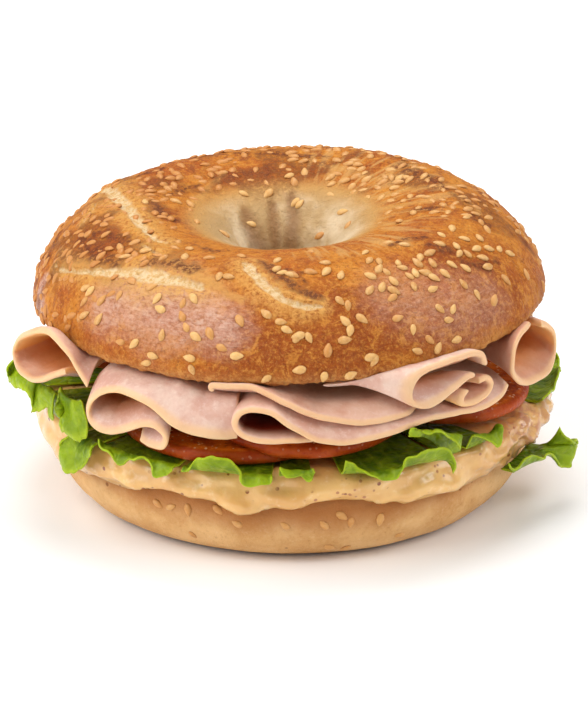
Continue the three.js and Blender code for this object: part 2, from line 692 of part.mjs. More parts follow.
// One slice lies flat across the middle, under the hole of the crown.
function middleSlice() {
  const blunt = 4;              // half the width of its two ends
  const pointAt = (u, v, side) => {
    const x = (2 * u - 1) * ham.middleRadius;
    const y = v * Math.sqrt(Math.max(ham.middleRadius ** 2 - x ** 2, blunt ** 2));
    const wave = 0.8 * Math.sin(x / 5) + 0.5 * Math.sin(y / 4);
    return [x, y, ham.middleLevel + wave + (side * ham.thickness) / 2];
  };
  return slabGeometry(pointAt, 10, [-1, -0.35, 0.35, 1]);
}

function buildHam() {
  for (const slice of [...shownSlices, ...sideSlices, ...backSlices]) {
    addMesh(`ham_${slice.name}`, hamGeometry(slice), colours.ham, 0.5);
  }
  addMesh('ham_middle', middleSlice(), colours.ham, 0.5);
}

buildHeel();
buildSpread();
buildLettuce();
buildTomato();
buildHam();
buildCrown();

export default group;
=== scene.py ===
# %% [markdown]
# # A filled sesame bagel
# This lesson dresses a plain solid model of a bagel sandwich until it looks good enough to eat.
# The solid model, the frame, already says where every piece lies. So each step takes one piece,
# makes a finer mesh in the same place, and gives it a finish built from nodes.
# All shapes are worked out in millimetres, and become metres only when a mesh is made. An angle
# is in degrees round the bagel, from its front (-Y) towards its right (+X).

# %% Load the frame
import math

import bmesh
import bpy
import numpy as np
from mathutils import Matrix, Quaternion, Vector, noise
from mathutils.bvhtree import BVHTree


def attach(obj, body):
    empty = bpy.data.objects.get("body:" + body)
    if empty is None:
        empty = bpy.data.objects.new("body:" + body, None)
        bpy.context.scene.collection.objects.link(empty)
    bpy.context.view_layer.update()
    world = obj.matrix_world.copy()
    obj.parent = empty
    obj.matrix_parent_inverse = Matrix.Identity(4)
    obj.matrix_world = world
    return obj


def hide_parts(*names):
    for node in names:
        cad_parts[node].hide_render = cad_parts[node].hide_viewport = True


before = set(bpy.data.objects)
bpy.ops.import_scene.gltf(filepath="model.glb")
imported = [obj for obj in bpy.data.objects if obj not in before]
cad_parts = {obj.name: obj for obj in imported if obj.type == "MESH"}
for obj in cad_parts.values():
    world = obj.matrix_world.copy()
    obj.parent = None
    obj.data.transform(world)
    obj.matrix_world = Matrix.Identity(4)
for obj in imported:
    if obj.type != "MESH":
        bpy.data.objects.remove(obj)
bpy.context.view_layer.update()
MM = 0.001
print("pieces in the frame:", len(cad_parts))

# %% [markdown]
# ## The camera
# The camera stands in front and looks a little down. It comes first, because details such as a
# crack in the crust are placed by where they show in its view. A long lens far away would
# flatten the bagel, and a short one close by would swell it, so both the distance and the focal
# length matter. Here the focal length is given in pixels of a picture 588 wide and 716 high.

# %% Place the camera
picture_width = 588
picture_height = 716
focal_pixels = 3525
camera_rise = math.radians(21.8)
camera_distance = 800 * MM
target = Vector((0, 0, 33 * MM))
target_across = 291
target_down = 336.1

looking = Vector((0, math.cos(camera_rise), -math.sin(camera_rise)))
upwards = Vector((0, math.sin(camera_rise), math.cos(camera_rise)))
rightwards = Vector((1, 0, 0))
metres_per_pixel = camera_distance / focal_pixels

camera = bpy.data.objects.new("camera", bpy.data.cameras.new("camera"))
bpy.context.scene.collection.objects.link(camera)
camera.location = target - looking * camera_distance
aim = target + rightwards * (picture_width / 2 - target_across) * metres_per_pixel
aim -= upwards * (picture_height / 2 - target_down) * metres_per_pixel
camera.rotation_euler = (aim - camera.location).to_track_quat("-Z", "Y").to_euler()
camera.data.sensor_width = 36
camera.data.lens = focal_pixels * camera.data.sensor_width / picture_height
camera.data.clip_start = 0.01
bpy.context.scene.camera = camera
bpy.context.view_layer.update()
print("lens", round(camera.data.lens, 1), "mm")


# %% Find a point by where it shows
def sight_line(across, down):
    """The direction in which the camera sees a point of its view, in pixels."""
    x = (across - picture_width / 2) / focal_pixels
    y = (picture_height / 2 - down) / focal_pixels
    return (camera.matrix_world.to_3x3() @ Vector((x, y, -1))).normalized()


print("sight line to the middle:", sight_line(target_across, target_down))

# %% [markdown]
# ## Helpers for meshes
# Most pieces here are grids of points: rings that close on themselves, or thin sheets with two
# faces. Working with whole arrays of points is much faster than adding them one by one, and a
# grid gives neat, even faces. Natural unevenness comes from smooth noise, sampled at each point.


# %% Points, noise and distances
def place(angle, radius, height):
    """Points round the bagel from arrays of angle, radius and height."""
    turn = np.radians(angle)
    return np.stack(np.broadcast_arrays(radius * np.sin(turn), -radius * np.cos(turn), height), -1)


def bell(angle, middle, width):
    """A smooth bump round one angle, 1 high."""
    away = (np.asarray(angle) - middle + 180) % 360 - 180
    return np.exp(-((away / width) ** 2))


def ease(value, low, high):
    """0 below low, 1 above high, and a smooth step between."""
    share = np.clip((np.asarray(value, float) - low) / (high - low), 0, 1)
    return share * share * (3 - 2 * share)


def uneven(points, size, octaves=3, draw=0):
    """Smooth noise, about -1 to 1, with features about size mm across. Each draw is another one."""
    shift = Vector((17.3 * draw, 5.1 * draw, 9.7 * draw))
    flat = points.reshape(-1, 3) / size
    values = [noise.fractal(Vector(p) + shift, 1.0, 2.0, octaves) for p in flat]
    return np.array(values).reshape(points.shape[:-1])


def noises(points, *layers):
    """A sum of noises, each a depth in mm, a size in mm, its octaves and its draw."""
    return sum(depth * uneven(points, *noise_values) for depth, *noise_values in layers)


def along_path(points, stops):
    """Points at shares of the length of a smooth curve through the given ones, and how many of
    the given ones lie before each."""
    given = np.array(points, float)
    ends = [2 * given[0] - given[1], *given, 2 * given[-1] - given[-2]]
    steps = np.linspace(0, 1, 40, endpoint=False)
    dense = []
    for p0, p1, p2, p3 in zip(ends, ends[1:], ends[2:], ends[3:]):
        k1 = np.linalg.norm(p1 - p0) ** 0.5
        k2 = k1 + np.linalg.norm(p2 - p1) ** 0.5
        k3 = k2 + np.linalg.norm(p3 - p2) ** 0.5
        t = k1 + (k2 - k1) * steps[:, None]
        a = p0 + (p1 - p0) * t / k1
        b = p1 + (p2 - p1) * (t - k1) / (k2 - k1)
        c = p2 + (p3 - p2) * (t - k2) / (k3 - k2)
        d = a + (b - a) * t / k2
        e = b + (c - b) * (t - k1) / (k3 - k1)
        dense.append(d + (e - d) * (t - k1) / (k2 - k1))
    dense = np.vstack([*dense, given[-1:]])
    passed = np.append((np.arange(len(given) - 1)[:, None] + steps).ravel(), len(given) - 1)
    along = np.concatenate([[0], np.cumsum(np.linalg.norm(np.diff(dense, axis=0), axis=1))])
    stops = np.asarray(stops) * along[-1]
    curve = np.stack([np.interp(stops, along, dense[:, i]) for i in range(dense.shape[1])], -1)
    return curve, np.interp(stops, along, passed)


def smooth_path(points, count):
    """Points on a smooth curve through the given ones: a count of even ones, or at shares."""
    stops = np.linspace(0, 1, count) if np.isscalar(count) else count
    return along_path(points, stops)[0]


def distance_to_path(points, path):
    """How far each point is from a line through the points of path, and how far along it."""
    best = np.full(points.shape[:-1], 1e9)
    where = np.zeros(points.shape[:-1])
    for i, (start, end) in enumerate(zip(path, path[1:])):
        way = end - start
        share = np.clip(((points - start) @ way) / max(way @ way, 1e-9), 0, 1)
        away = np.linalg.norm(points - start - share[..., None] * way, axis=-1)
        closer = away < best
        best = np.where(closer, away, best)
        where = np.where(closer, (i + share) / (len(path) - 1), where)
    return best, where


print("at the right, 50 mm out and 10 mm up:", place(90, 50, 10).round(1))


# %% Grids, sheets and pieces
def grid_faces(rows, columns, ring=False, tube=False):
    """Faces between neighbours of a grid. A ring joins its last row to the first one, and a tube
    its last column to the first one."""
    i = np.arange(rows if ring else rows - 1)
    j = np.arange(columns if tube else columns - 1)
    i, j = np.meshgrid(i, j, indexing="ij")
    after_i = (i + 1) % rows
    after_j = (j + 1) % columns
    corners = [(i, j), (after_i, j), (after_i, after_j), (i, after_j)]
    return np.stack([(row * columns + column).ravel() for row, column in corners], -1)


def grid_normals(points, around=False):
    """The direction square to a grid of points at each of them. It may close on itself."""
    def step(axis):
        if around:
            return np.roll(points, -1, axis) - np.roll(points, 1, axis)
        return np.gradient(points, axis=axis)
    normals = np.cross(step(0), step(1))
    return normals / np.maximum(np.linalg.norm(normals, axis=-1, keepdims=True), 1e-9)


def sweep(around, draw):
    """A ring: its angles, its section at each of them, as radius and height, and its points."""
    angles = np.linspace(0, 360, around, endpoint=False)
    sections = np.array([draw(angle) for angle in angles])
    return angles, sections, place(angles[:, None], sections[..., 0], sections[..., 1])


def swell(ring, relief):
    """Moves the points of a ring outwards by the relief, in mm."""
    normals = grid_normals(ring, True)
    outwards = np.sign((normals * (ring - ring.mean(1, keepdims=True))).sum())
    return ring + normals * outwards * relief[..., None]


def rounded(thickness, from_edge, bend):
    """Half the thickness of a sheet, which rounds off to nothing over the bend at its edge."""
    return thickness / 2 * np.sqrt(1 - (1 - np.clip(from_edge / bend, 0, 1)) ** 2)


def store(mesh, name, numbers):
    """Keeps a number, or a vector, at each point of a mesh."""
    numbers = np.asarray(numbers, np.float32)
    vectors = numbers.size > len(mesh.vertices)
    layer = mesh.attributes.new(name, "FLOAT_VECTOR" if vectors else "FLOAT", "POINT")
    layer.data.foreach_set("vector" if vectors else "value", numbers.ravel())


def make_piece(name, points, faces, **values):
    """A smooth mesh object from points in mm, with numbers stored at them for every value."""
    mesh = bpy.data.meshes.new(name)
    mesh.from_pydata(points.reshape(-1, 3) * MM, [], [list(map(int, face)) for face in faces])
    mesh.shade_smooth()
    for key, numbers in values.items():
        store(mesh, key, numbers)
    piece = bpy.data.objects.new(name, mesh)
    bpy.context.scene.collection.objects.link(piece)
    return piece


def make_solid(name, points, faces, **values):
    """A closed piece whose faces point outwards."""
    piece = make_piece(name, points, faces, **values)
    shape = bmesh.new()
    shape.from_mesh(piece.data)
    if shape.calc_volume(signed=True) < 0:
        piece.data.flip_normals()
    shape.free()
    return piece


def make_ring(name, ring, **values):
    """A closed piece from the points of a ring."""
    return make_solid(name, ring, grid_faces(*ring.shape[:2], True, True), **values)


def make_sheet(name, upper, lower, **values):
    """A closed sheet from two grids that share their outer edge. Each value is a pair of grids."""
    rows, columns = upper.shape[:2]
    numbers = np.arange(rows * columns).reshape(rows, columns)
    inner = np.zeros((rows, columns), bool)
    inner[1:-1, 1:-1] = True
    below = numbers.copy()
    below[inner] = rows * columns + np.arange(inner.sum())
    top = grid_faces(rows, columns)
    bottom = below.ravel()[top][:, ::-1]
    points = np.vstack([upper.reshape(-1, 3), lower[inner]])
    joined = {key: np.concatenate([a.ravel(), b[inner]]) for key, (a, b) in values.items()}
    return make_solid(name, points, np.vstack([top, bottom]), **joined)


def dress(piece, finish, slot, *nodes):
    """Gives a piece its finish and puts it in the place of its nodes of the frame."""
    piece.data.materials.clear()
    piece.data.materials.append(finish.material)
    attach(piece, "root")
    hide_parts(*nodes)
    print(piece.name, len(piece.data.polygons), "faces")


print("faces of a 3 by 4 grid:", len(grid_faces(3, 4)))


# %% [markdown]
# ## Helpers for finishes
# A finish is a small network of nodes. Writing one out socket by socket is long, so each method
# here adds a node, joins its inputs and hands back its output. Colours are given as they show
# on a screen, from 0 to 255, and are turned into the linear values that the renderer mixes. A
# plain name stands for the number that is stored under it at the points of a piece.


# %% Nodes in a few words
def linear(paint):
    """A screen colour as linear values with full alpha. A node's output stays as it is."""
    if not isinstance(paint, tuple):
        return paint
    shares = [part / 255 for part in paint]
    return (*(s / 12.92 if s <= 0.04045 else ((s + 0.055) / 1.055) ** 2.4 for s in shares), 1)


def fill(tree, node, inputs):
    """Fills inputs of a node, each with a plain value or by a link from another's output."""
    for key, value in inputs.items():
        if isinstance(value, bpy.types.NodeSocket):
            tree.links.new(value, node.inputs[key])
        else:
            node.inputs[key].default_value = value


def add_node(tree, kind, inputs=None, **settings):
    """Adds a node, chooses its settings and fills its inputs."""
    node = tree.nodes.new(kind)
    for key, value in settings.items():
        setattr(node, key, value)
    fill(tree, node, inputs or {})
    return node


class Finish:
    """A material in the making."""

    def __init__(self, name):
        self.material = bpy.data.materials.new(name)
        self.material.use_nodes = True
        self.tree = self.material.node_tree
        self.shader = self.tree.nodes["Principled BSDF"]
        self.where = add_node(self.tree, "ShaderNodeTexCoord").outputs["Object"]

    def painted(self, name, kind="Fac"):
        """A number, or a vector, that is stored at the piece's points."""
        return add_node(self.tree, "ShaderNodeAttribute", attribute_name=name).outputs[kind]

    def number(self, value):
        """The output that a plain name stands for, or the value itself."""
        return self.painted(value) if isinstance(value, str) else value

    def cloudy(self, size, detail=4, roughness=0.6, distortion=0.0, where=None):
        """Noise from 0 to 1, with features about size mm across."""
        where = self.where if where is None else where
        inputs = {"Vector": where, "Scale": 1 / (size * MM), "Detail": detail}
        inputs |= {"Roughness": roughness, "Distortion": distortion}
        return add_node(self.tree, "ShaderNodeTexNoise", inputs).outputs["Fac"]

    def cells(self, size, feature="F1"):
        """A pattern of cells about size mm across."""
        inputs = {"Vector": self.where, "Scale": 1 / (size * MM)}
        return add_node(self.tree, "ShaderNodeTexVoronoi", inputs, feature=feature).outputs["Distance"]

    def stretch(self, value, low, high, start=0.0, end=1.0):
        """Maps low..high to start..end, and holds the ends."""
        inputs = {"Value": self.number(value), "From Min": low, "From Max": high}
        inputs |= {"To Min": start, "To Max": end}
        node = add_node(self.tree, "ShaderNodeMapRange", inputs, interpolation_type="SMOOTHSTEP")
        return node.outputs["Result"]

    def reckon(self, operation, first, second):
        """One step of arithmetic."""
        inputs = {0: self.number(first), 1: self.number(second)}
        return add_node(self.tree, "ShaderNodeMath", inputs, operation=operation).outputs[0]

    def times(self, first, second):
        """The product of two numbers."""
        return self.reckon("MULTIPLY", first, second)

    def plus(self, first, second):
        """The sum of two numbers."""
        return self.reckon("ADD", first, second)

    def blend(self, shade, *layers):
        """Lays layers over a shade, each a share and a colour, one after another."""
        for share, layer in layers:
            inputs = {0: self.number(share), 6: linear(shade), 7: linear(layer)}
            shade = add_node(self.tree, "ShaderNodeMix", inputs, data_type="RGBA").outputs[2]
        return shade

    def shine(self, shade, roughness, specular, coat=0.0, coat_roughness=0.03):
        """Joins the shade, and sets how the surface shines."""
        values = {"Base Color": shade, "Roughness": roughness, "Specular IOR Level": specular}
        values |= {"Coat Weight": coat, "Coat Roughness": coat_roughness}
        fill(self.tree, self.shader, values)

    def soften(self, weight, *depths):
        """Lets light sink in: how much of it, and how many mm deep in red, green and blue."""
        values = {"Subsurface Weight": weight, "Subsurface Scale": 1.0}
        values["Subsurface Radius"] = [depth * MM for depth in depths]
        fill(self.tree, self.shader, values)

    def raise_skin(self, *bumps):
        """Adds bumps on top of one another, each a height from 0 to 1 and its depth in mm."""
        before = {}
        for height, depth in bumps:
            inputs = {"Height": height, "Distance": depth * MM, **before}
            before = {"Normal": add_node(self.tree, "ShaderNodeBump", inputs).outputs["Normal"]}
        fill(self.tree, self.shader, before)


print("orange as linear values:", [round(part, 3) for part in linear((255, 128, 0))])


# %% [markdown]
# ## Floor and light
# Food looks fresh in broad soft light. A pale floor and a white world fill the shadows, and
# large area lights at both sides give the soft gloss. The left one is stronger, so the left side
# of each fold is bright, and the front between them stays a little darker and looks round. One
# light from behind brightens the top, and a low one reaches in under the bread.

# %% Make the floor
floor_half = 3.0
floor_grey = 0.97
corners = [(-floor_half, -floor_half, 0), (floor_half, -floor_half, 0)]
corners += [(floor_half, floor_half, 0), (-floor_half, floor_half, 0)]
floor_mesh = bpy.data.meshes.new("floor")
floor_mesh.from_pydata(corners, [], [(0, 1, 2, 3)])
floor = bpy.data.objects.new("floor", floor_mesh)
bpy.context.scene.collection.objects.link(floor)
floor_finish = Finish("pale_floor")
floor_finish.shine((floor_grey, floor_grey, floor_grey, 1), roughness=0.9, specular=0.1)
floor_mesh.materials.append(floor_finish.material)
print("floor:", 2 * floor_half, "m wide")

# %% Place the lights
light_places = {
    # angle, rise, distance in m, size in m and power in W
    "left_light": (-68, 42, 0.9, 0.8, 6.9),
    "right_light": (66, 36, 1.0, 0.6, 4.5),
    "top_light": (170, 68, 0.9, 0.6, 5.0),
    "low_light": (-62, 7, 0.9, 0.35, 1.2),
}
for name, (angle, rise, distance, size, power) in light_places.items():
    light = bpy.data.lights.new(name, "AREA")
    light.size = size
    light.energy = power
    lamp = bpy.data.objects.new(name, light)
    up = math.radians(rise)
    lamp.location = Vector(place(angle, distance * math.cos(up), distance * math.sin(up))) + target
    lamp.rotation_euler = (target - lamp.location).to_track_quat("-Z", "Y").to_euler()
    bpy.context.scene.collection.objects.link(lamp)

world_strength = 0.33
world = bpy.data.worlds.new("studio")
world.use_nodes = True
world.node_tree.nodes["Background"].inputs["Color"].default_value = (1, 1, 1, 1)
world.node_tree.nodes["Background"].inputs["Strength"].default_value = world_strength
bpy.context.scene.world = world
bpy.context.scene.view_settings.view_transform = "Standard"
bpy.context.scene.view_settings.look = "None"

# %% [markdown]
# ## The upper half of the bread
# A bagel is a rope of dough joined into a ring, boiled and then baked. So its skin is smooth and
# tight, with cracks where it tore while it rose. It could be a torus with a sculpted surface, but
# a real section isn't round: it is flat below, steep at the hole and full at the outside. So the
# ring here follows a section made of two rounded quarters, as its solid does, with many more
# points, and then gets relief.

# %% Sizes of the crown
crown_offset = -0.8
crown_cut = 44.6
crown_rise = 20.4
crown_roll = math.radians(1.5)
crown_pitch = math.radians(0.75)
crown_radius = 57.2
crest_radius = 36.3
hole_radius = 8.6
hole_flare = 1.4
flare_curve = 1.6
widest_height = 1.8
waist_height = 4.5
lip_width = 3.7
inner_fullness = 1.9
outer_fullness = 1.74
# Swellings, each an amount in mm, how many there are round the ring and the first angle.
crown_swells = [(0.36, 1, 90), (0.62, 2, 0), (0.57, 2, -90), (-0.27, 3, 0)]
crest_swells = [(0.25, 3, 34)]
hole_swells = [(0.7, 2, 46)]
# Flat places of the rim, each a middle angle, a width in degrees and a depth in mm.
crown_flats = [(-115, 30, 1.06), (120, 30, 0.81)]
# How many points there are round the ring and along each part of the section.
crown_around = 540
waist_steps = 6
inner_steps = 56
outer_steps = 84
lip_steps = 9
cut_steps = 12
# The last point of the section that is crust and not cut face.
crust_end = waist_steps + inner_steps + (outer_steps - 1) + (lip_steps - 1) - 1
print("crown:", 2 * crown_radius, "mm across")


# %% Draw the section of the crown
def swelling(swells, angle):
    """How far smooth swellings reach at an angle."""
    return sum(amount * np.sin(np.radians(count * angle + first)) for amount, count, first in swells)


def rim_radius(angle):
    """The crown's widest radius at an angle."""
    flat = sum(depth * bell(angle, middle, width) for middle, width, depth in crown_flats)
    return crown_radius + swelling(crown_swells, angle) - flat


def quarter(steps, fullness):
    """A quarter of a rounded square, from its top to its side, as shares of width and height."""
    turn = np.linspace(0, math.pi / 2, steps)
    return np.sin(turn) ** (2 / fullness), np.cos(turn) ** (2 / fullness)


def crown_section(angle):
    """Radius and height of each point from the hole over the crest and back along the cut."""
    top = crown_rise + swelling(crest_swells, angle)
    radius = rim_radius(angle)
    hole = hole_radius + swelling(hole_swells, angle)
    share = np.linspace(0, 1, waist_steps, endpoint=False)
    parts = [(hole + hole_flare * (1 - share) ** flare_curve, waist_height * share)]
    across, up = quarter(inner_steps, inner_fullness)
    inner = crest_radius - across[::-1] * (crest_radius - hole)
    parts.append((inner, waist_height + up[::-1] * (top - waist_height)))
    across, up = quarter(outer_steps, outer_fullness)
    outer = crest_radius + across[1:] * (radius - crest_radius)
    parts.append((outer, widest_height + up[1:] * (top - widest_height)))
    turn = np.linspace(0, math.pi / 2, lip_steps)[1:]
    parts.append((radius - lip_width * (1 - np.cos(turn)), widest_height * (1 - np.sin(turn))))
    share = np.linspace(0, 1, cut_steps)[1:-1]
    parts.append((radius - lip_width - share * (radius - lip_width - hole - hole_flare), 0 * share))
    return np.concatenate([np.stack(part, -1) for part in parts])


def crown_tilt(x, y):
    """How much higher the tilted crown lies at a place."""
    return x * math.tan(crown_roll) + y * math.tan(crown_pitch)


crown_angles, crown_sections, flat_ring = sweep(crown_around, crown_section)
tilt = Matrix.Rotation(crown_pitch, 3, "X") @ Matrix.Rotation(-crown_roll, 3, "Y")
crown_points = flat_ring @ np.array(tilt).T + (crown_offset, 0, crown_cut)
x, y, z = np.moveaxis(flat_ring, -1, 0)
print("crown grid:", crown_points.shape[:2])

# %% [markdown]
# ## Cracks, blisters and colour on the crust
# The pale cracks and the dark blisters make this bagel this bagel. They are strokes: lines of
# points in the camera's view, each carried along its sight line onto the crust. The distance from
# a stroke then gives both relief and colour, so that a pale crack is also a real dent. On the far
# side, noise decides where the crust is darker.

# %% Carry strokes of the view onto the crust
eye = camera.matrix_world.translation / MM


def skin_finder(points):
    """Looks up the skin of a ring, so that sight lines can be carried onto it."""
    faces = grid_faces(*points.shape[:2], True, True)
    return BVHTree.FromPolygons(points.reshape(-1, 3).tolist(), faces.tolist())


def seen_on(skin, across, down):
    """The point of a skin that shows there, and its normal, in mm."""
    hit, normal, _, _ = skin.ray_cast(eye, sight_line(across, down))
    return hit, normal


plain_crust = skin_finder(crown_points)


def stroke(pixels):
    """A smooth line on the crust through points of the view."""
    found = [seen_on(plain_crust, *p)[0] for p in pixels]
    return smooth_path([np.array(p) for p in found if p is not None], 30)


# Each stroke: its points in the view, and half its width in mm at its start, middle and end.
pale_cracks = [
    ([(106, 189), (116, 196), (125, 205), (135, 218), (146, 231), (156, 239), (166, 243)],
     (1.6, 1.7, 0.7)),
    ([(144, 247), (154, 252), (163, 257)], (0.4, 0.8, 0.4)),
    ([(56, 267), (68, 271), (88, 272), (106, 273)], (0.3, 0.6, 0.8)),
    ([(106, 273), (120, 272), (140, 274), (160, 278), (183, 282), (202, 289)], (1.0, 2.1, 0.9)),
    ([(246, 264), (251, 270), (257, 277)], (0.9, 1.3, 1.1)),
    ([(257, 277), (265, 285), (274, 292), (283, 299), (292, 304)], (1.1, 1.3, 0.8)),
    ([(292, 304), (306, 306), (321, 306)], (0.8, 0.9, 0.3)),
    ([(96, 204), (90, 214), (84, 224)], (0.3, 0.5, 0.2)),
]
golden_marks = [
    ([(60, 252), (80, 262), (96, 270), (110, 280)], (1.2, 2.0, 1.2)),
    ([(172, 262), (200, 278), (222, 290), (240, 300)], (0.8, 1.5, 0.8)),
    ([(366, 199), (400, 191), (446, 186), (474, 190)], (0.7, 1.2, 0.5)),
    ([(352, 216), (390, 208), (436, 202)], (0.6, 1.2, 0.4)),
    ([(356, 232), (392, 224), (426, 216)], (0.5, 0.9, 0.4)),
    ([(452, 193), (468, 204), (482, 216)], (0.6, 1.2, 0.4)),
    ([(322, 166), (352, 172), (392, 184)], (0.6, 1.4, 0.5)),
    ([(222, 176), (206, 190), (196, 206), (204, 226)], (0.6, 1.2, 0.5)),
]
dark_blisters = [
    ([(152, 204), (160, 212), (166, 217), (174, 220)], (1.6, 3.0, 1.4)),
    ([(79, 238), (88, 246), (102, 256), (117, 263)], (1.6, 3.0, 1.6)),
    ([(92, 232), (108, 236), (128, 242)], (1.2, 1.8, 1.2)),
    ([(146, 262), (158, 263), (176, 266), (196, 271)], (1.1, 1.7, 1.1)),
    ([(264, 264), (274, 272), (288, 283), (304, 292), (316, 296)], (1.3, 1.6, 0.8)),
    ([(286, 268), (300, 276), (306, 284)], (0.7, 1.0, 0.7)),
    ([(398, 168), (414, 173), (432, 182), (446, 188)], (1.2, 2.1, 1.1)),
    ([(470, 212), (480, 220), (492, 228)], (1.1, 1.8, 1.0)),
    ([(236, 153), (270, 154), (300, 156), (330, 158)], (0.7, 1.2, 0.7)),
    ([(118, 182), (140, 176), (162, 169)], (0.8, 1.2, 0.7)),
    ([(420, 212), (434, 208), (448, 208)], (0.4, 0.9, 0.4)),
    ([(430, 246), (444, 250), (458, 256)], (0.9, 1.7, 1.0)),
    ([(462, 262), (478, 266), (494, 262)], (0.6, 1.2, 0.7)),
    ([(392, 246), (408, 240), (424, 238)], (0.5, 1.1, 0.5)),
    ([(168, 196), (182, 190), (200, 184)], (0.8, 1.1, 0.6)),
    ([(196, 246), (212, 252), (228, 252)], (0.4, 0.9, 0.4)),
    ([(60, 232), (54, 246), (48, 262)], (0.6, 1.3, 0.8)),
]
# Smooth glossy skin, whose rosy colour is partly painted reflection.
smooth_sheens = [
    ([(110, 302), (140, 300), (172, 308), (204, 318), (224, 328)], (6.0, 8.5, 5.0)),
    ([(398, 294), (424, 302), (454, 304), (486, 300)], (6.5, 8.0, 6.0)),
    ([(44, 282), (40, 296), (44, 312)], (1.6, 2.4, 1.6)),
]
# Deeper browns: partly a deeper bake, and partly painted shade on the lower front and at the right.
deep_browns = [
    ([(240, 342), (300, 352), (360, 344), (410, 328)], (7.0, 9.5, 6.0)),
    ([(330, 300), (352, 312), (372, 318)], (5.0, 6.5, 5.0)),
    ([(440, 256), (480, 270), (510, 292)], (5.0, 7.0, 4.0)),
    ([(420, 338), (456, 330), (500, 310)], (3.0, 4.0, 3.0)),
]
# Creases in the hole: real dents, darkened with painted shade.
hole_creases = [
    ([(246, 210), (251, 228), (259, 248)], (1.2, 2.4, 3.0)),
    ([(291, 196), (293, 220), (290, 246)], (0.8, 1.5, 1.8)),
    ([(272, 204), (274, 226), (276, 246)], (0.8, 1.3, 1.5)),
]


# %% Paint the strokes as numbers at the points of the crown
def paint(strokes, ragged, softness, wider=1.0, more=0.0):
    """1 in the middle of the strokes and 0 outside, with an edge as ragged as the wobble."""
    whole = np.zeros(crown_points.shape[:-1])
    for pixels, widths in strokes:
        away, along = distance_to_path(crown_points, stroke(pixels))
        width = wider * np.interp(along, (0, 0.5, 1), widths) + more
        inside = 1 - ease((away + ragged * wobble) / width, 1 - softness, 1 + softness)
        whole = np.maximum(whole, inside)
    return whole


wobble = uneven(crown_points, 2.2, 3, 4)
crack = paint(pale_cracks, ragged=0.6, softness=0.45)
halo = paint(pale_cracks, ragged=1.0, softness=0.9, wider=2.6, more=1.0)
golden = paint(golden_marks, ragged=0.7, softness=0.8)
blister = paint(dark_blisters, ragged=1.4, softness=0.8)
# Real gloss with painted reflection, which is made weaker at the right.
sheen = paint(smooth_sheens, ragged=1.6, softness=0.85) * (1 - 0.55 * ease(x, 0, 25))
# A deeper bake together with painted shade.
brown = paint(deep_browns, ragged=1.6, softness=0.8)
crease = paint(hole_creases, ragged=0.2, softness=0.9)
print("painted:", round(float(crack.max()), 2), round(float(blister.max()), 2))

# %% Give the crown its relief
# These numbers say where a point lies. from_crest is 0 on the crest, -1 at the hole and about
# 0.75 at the rim, and the ones after it go from 0 to 1.
along_section = np.broadcast_to(np.arange(crown_sections.shape[1]), crown_sections.shape[:2])
is_crust = along_section <= crust_end
from_crest = (np.hypot(x, y) - crest_radius) / (crest_radius - hole_radius)
in_hole = ease(-from_crest, 0.36, 0.86) * is_crust
far_side = ease(y + 0.35 * np.maximum(x, 0), -4, 14)
left_side = ease(-x, 14, 28) * (1 - ease(-y, 26, 38))
baked = np.maximum(far_side, left_side) * is_crust * (1 - in_hole)
wild_blister = 0.72 * ease(uneven(crown_points, 11, 4, 7), 0.0, 0.4)
blister = np.maximum(blister, baked * wild_blister)
low_edge = (1 - ease(z, 0.2, 4.2)) * is_crust * (from_crest > 0)
# Stretched skin has streaks that run out from the hole, so their noise hardly changes outwards.
streak_place = place(crown_angles[:, None], 30 + 0.12 * np.hypot(x, y), 0.12 * z)
stretched = ease(-from_crest, -0.25, 0.1) * (1 - in_hole) * ease(x, -6, 10)
streaks = stretched * (0.5 + uneven(streak_place, 1.3, 3, 8))

# Each depth is in mm. The three noises are broad swellings, dimples and grain.
relief = noises(crown_points, (0.34, 16, 2, 1), (0.15, 4.2, 3, 2), (0.09, 1.5, 3, 3))
relief += 0.4 * halo - 0.85 * crack * (0.8 + 0.5 * wobble)
relief += 0.28 * blister * (0.5 + uneven(crown_points, 1.6, 2, 5))
relief += 0.14 * streaks + 0.1 * golden - 0.55 * crease
relief += 0.55 * low_edge * uneven(crown_points, 1.5, 3, 6)
crown_points = swell(crown_points, relief * is_crust)

crown = make_ring("crown", crown_points, crack=crack, halo=halo, golden=golden, blister=blister,
                  sheen=sheen, brown=brown, hole=in_hole, crease=crease, low_edge=low_edge,
                  crumb=~is_crust, streaks=streaks, baked=baked)
print("relief from", round(float(relief.min()), 2), "to", round(float(relief.max()), 2), "mm")

# Wrinkles of the tight skin run round the ring, so their noise is drawn out along it.
ring_of_flow = 26
closer_across = 1.3
steps_across = np.diff(crown_sections, axis=1, prepend=crown_sections[:, :1])
across_skin = closer_across * np.cumsum(np.linalg.norm(steps_across, axis=2), axis=1)
store(crown.data, "flow", place(crown_angles[:, None], ring_of_flow, across_skin) * MM)
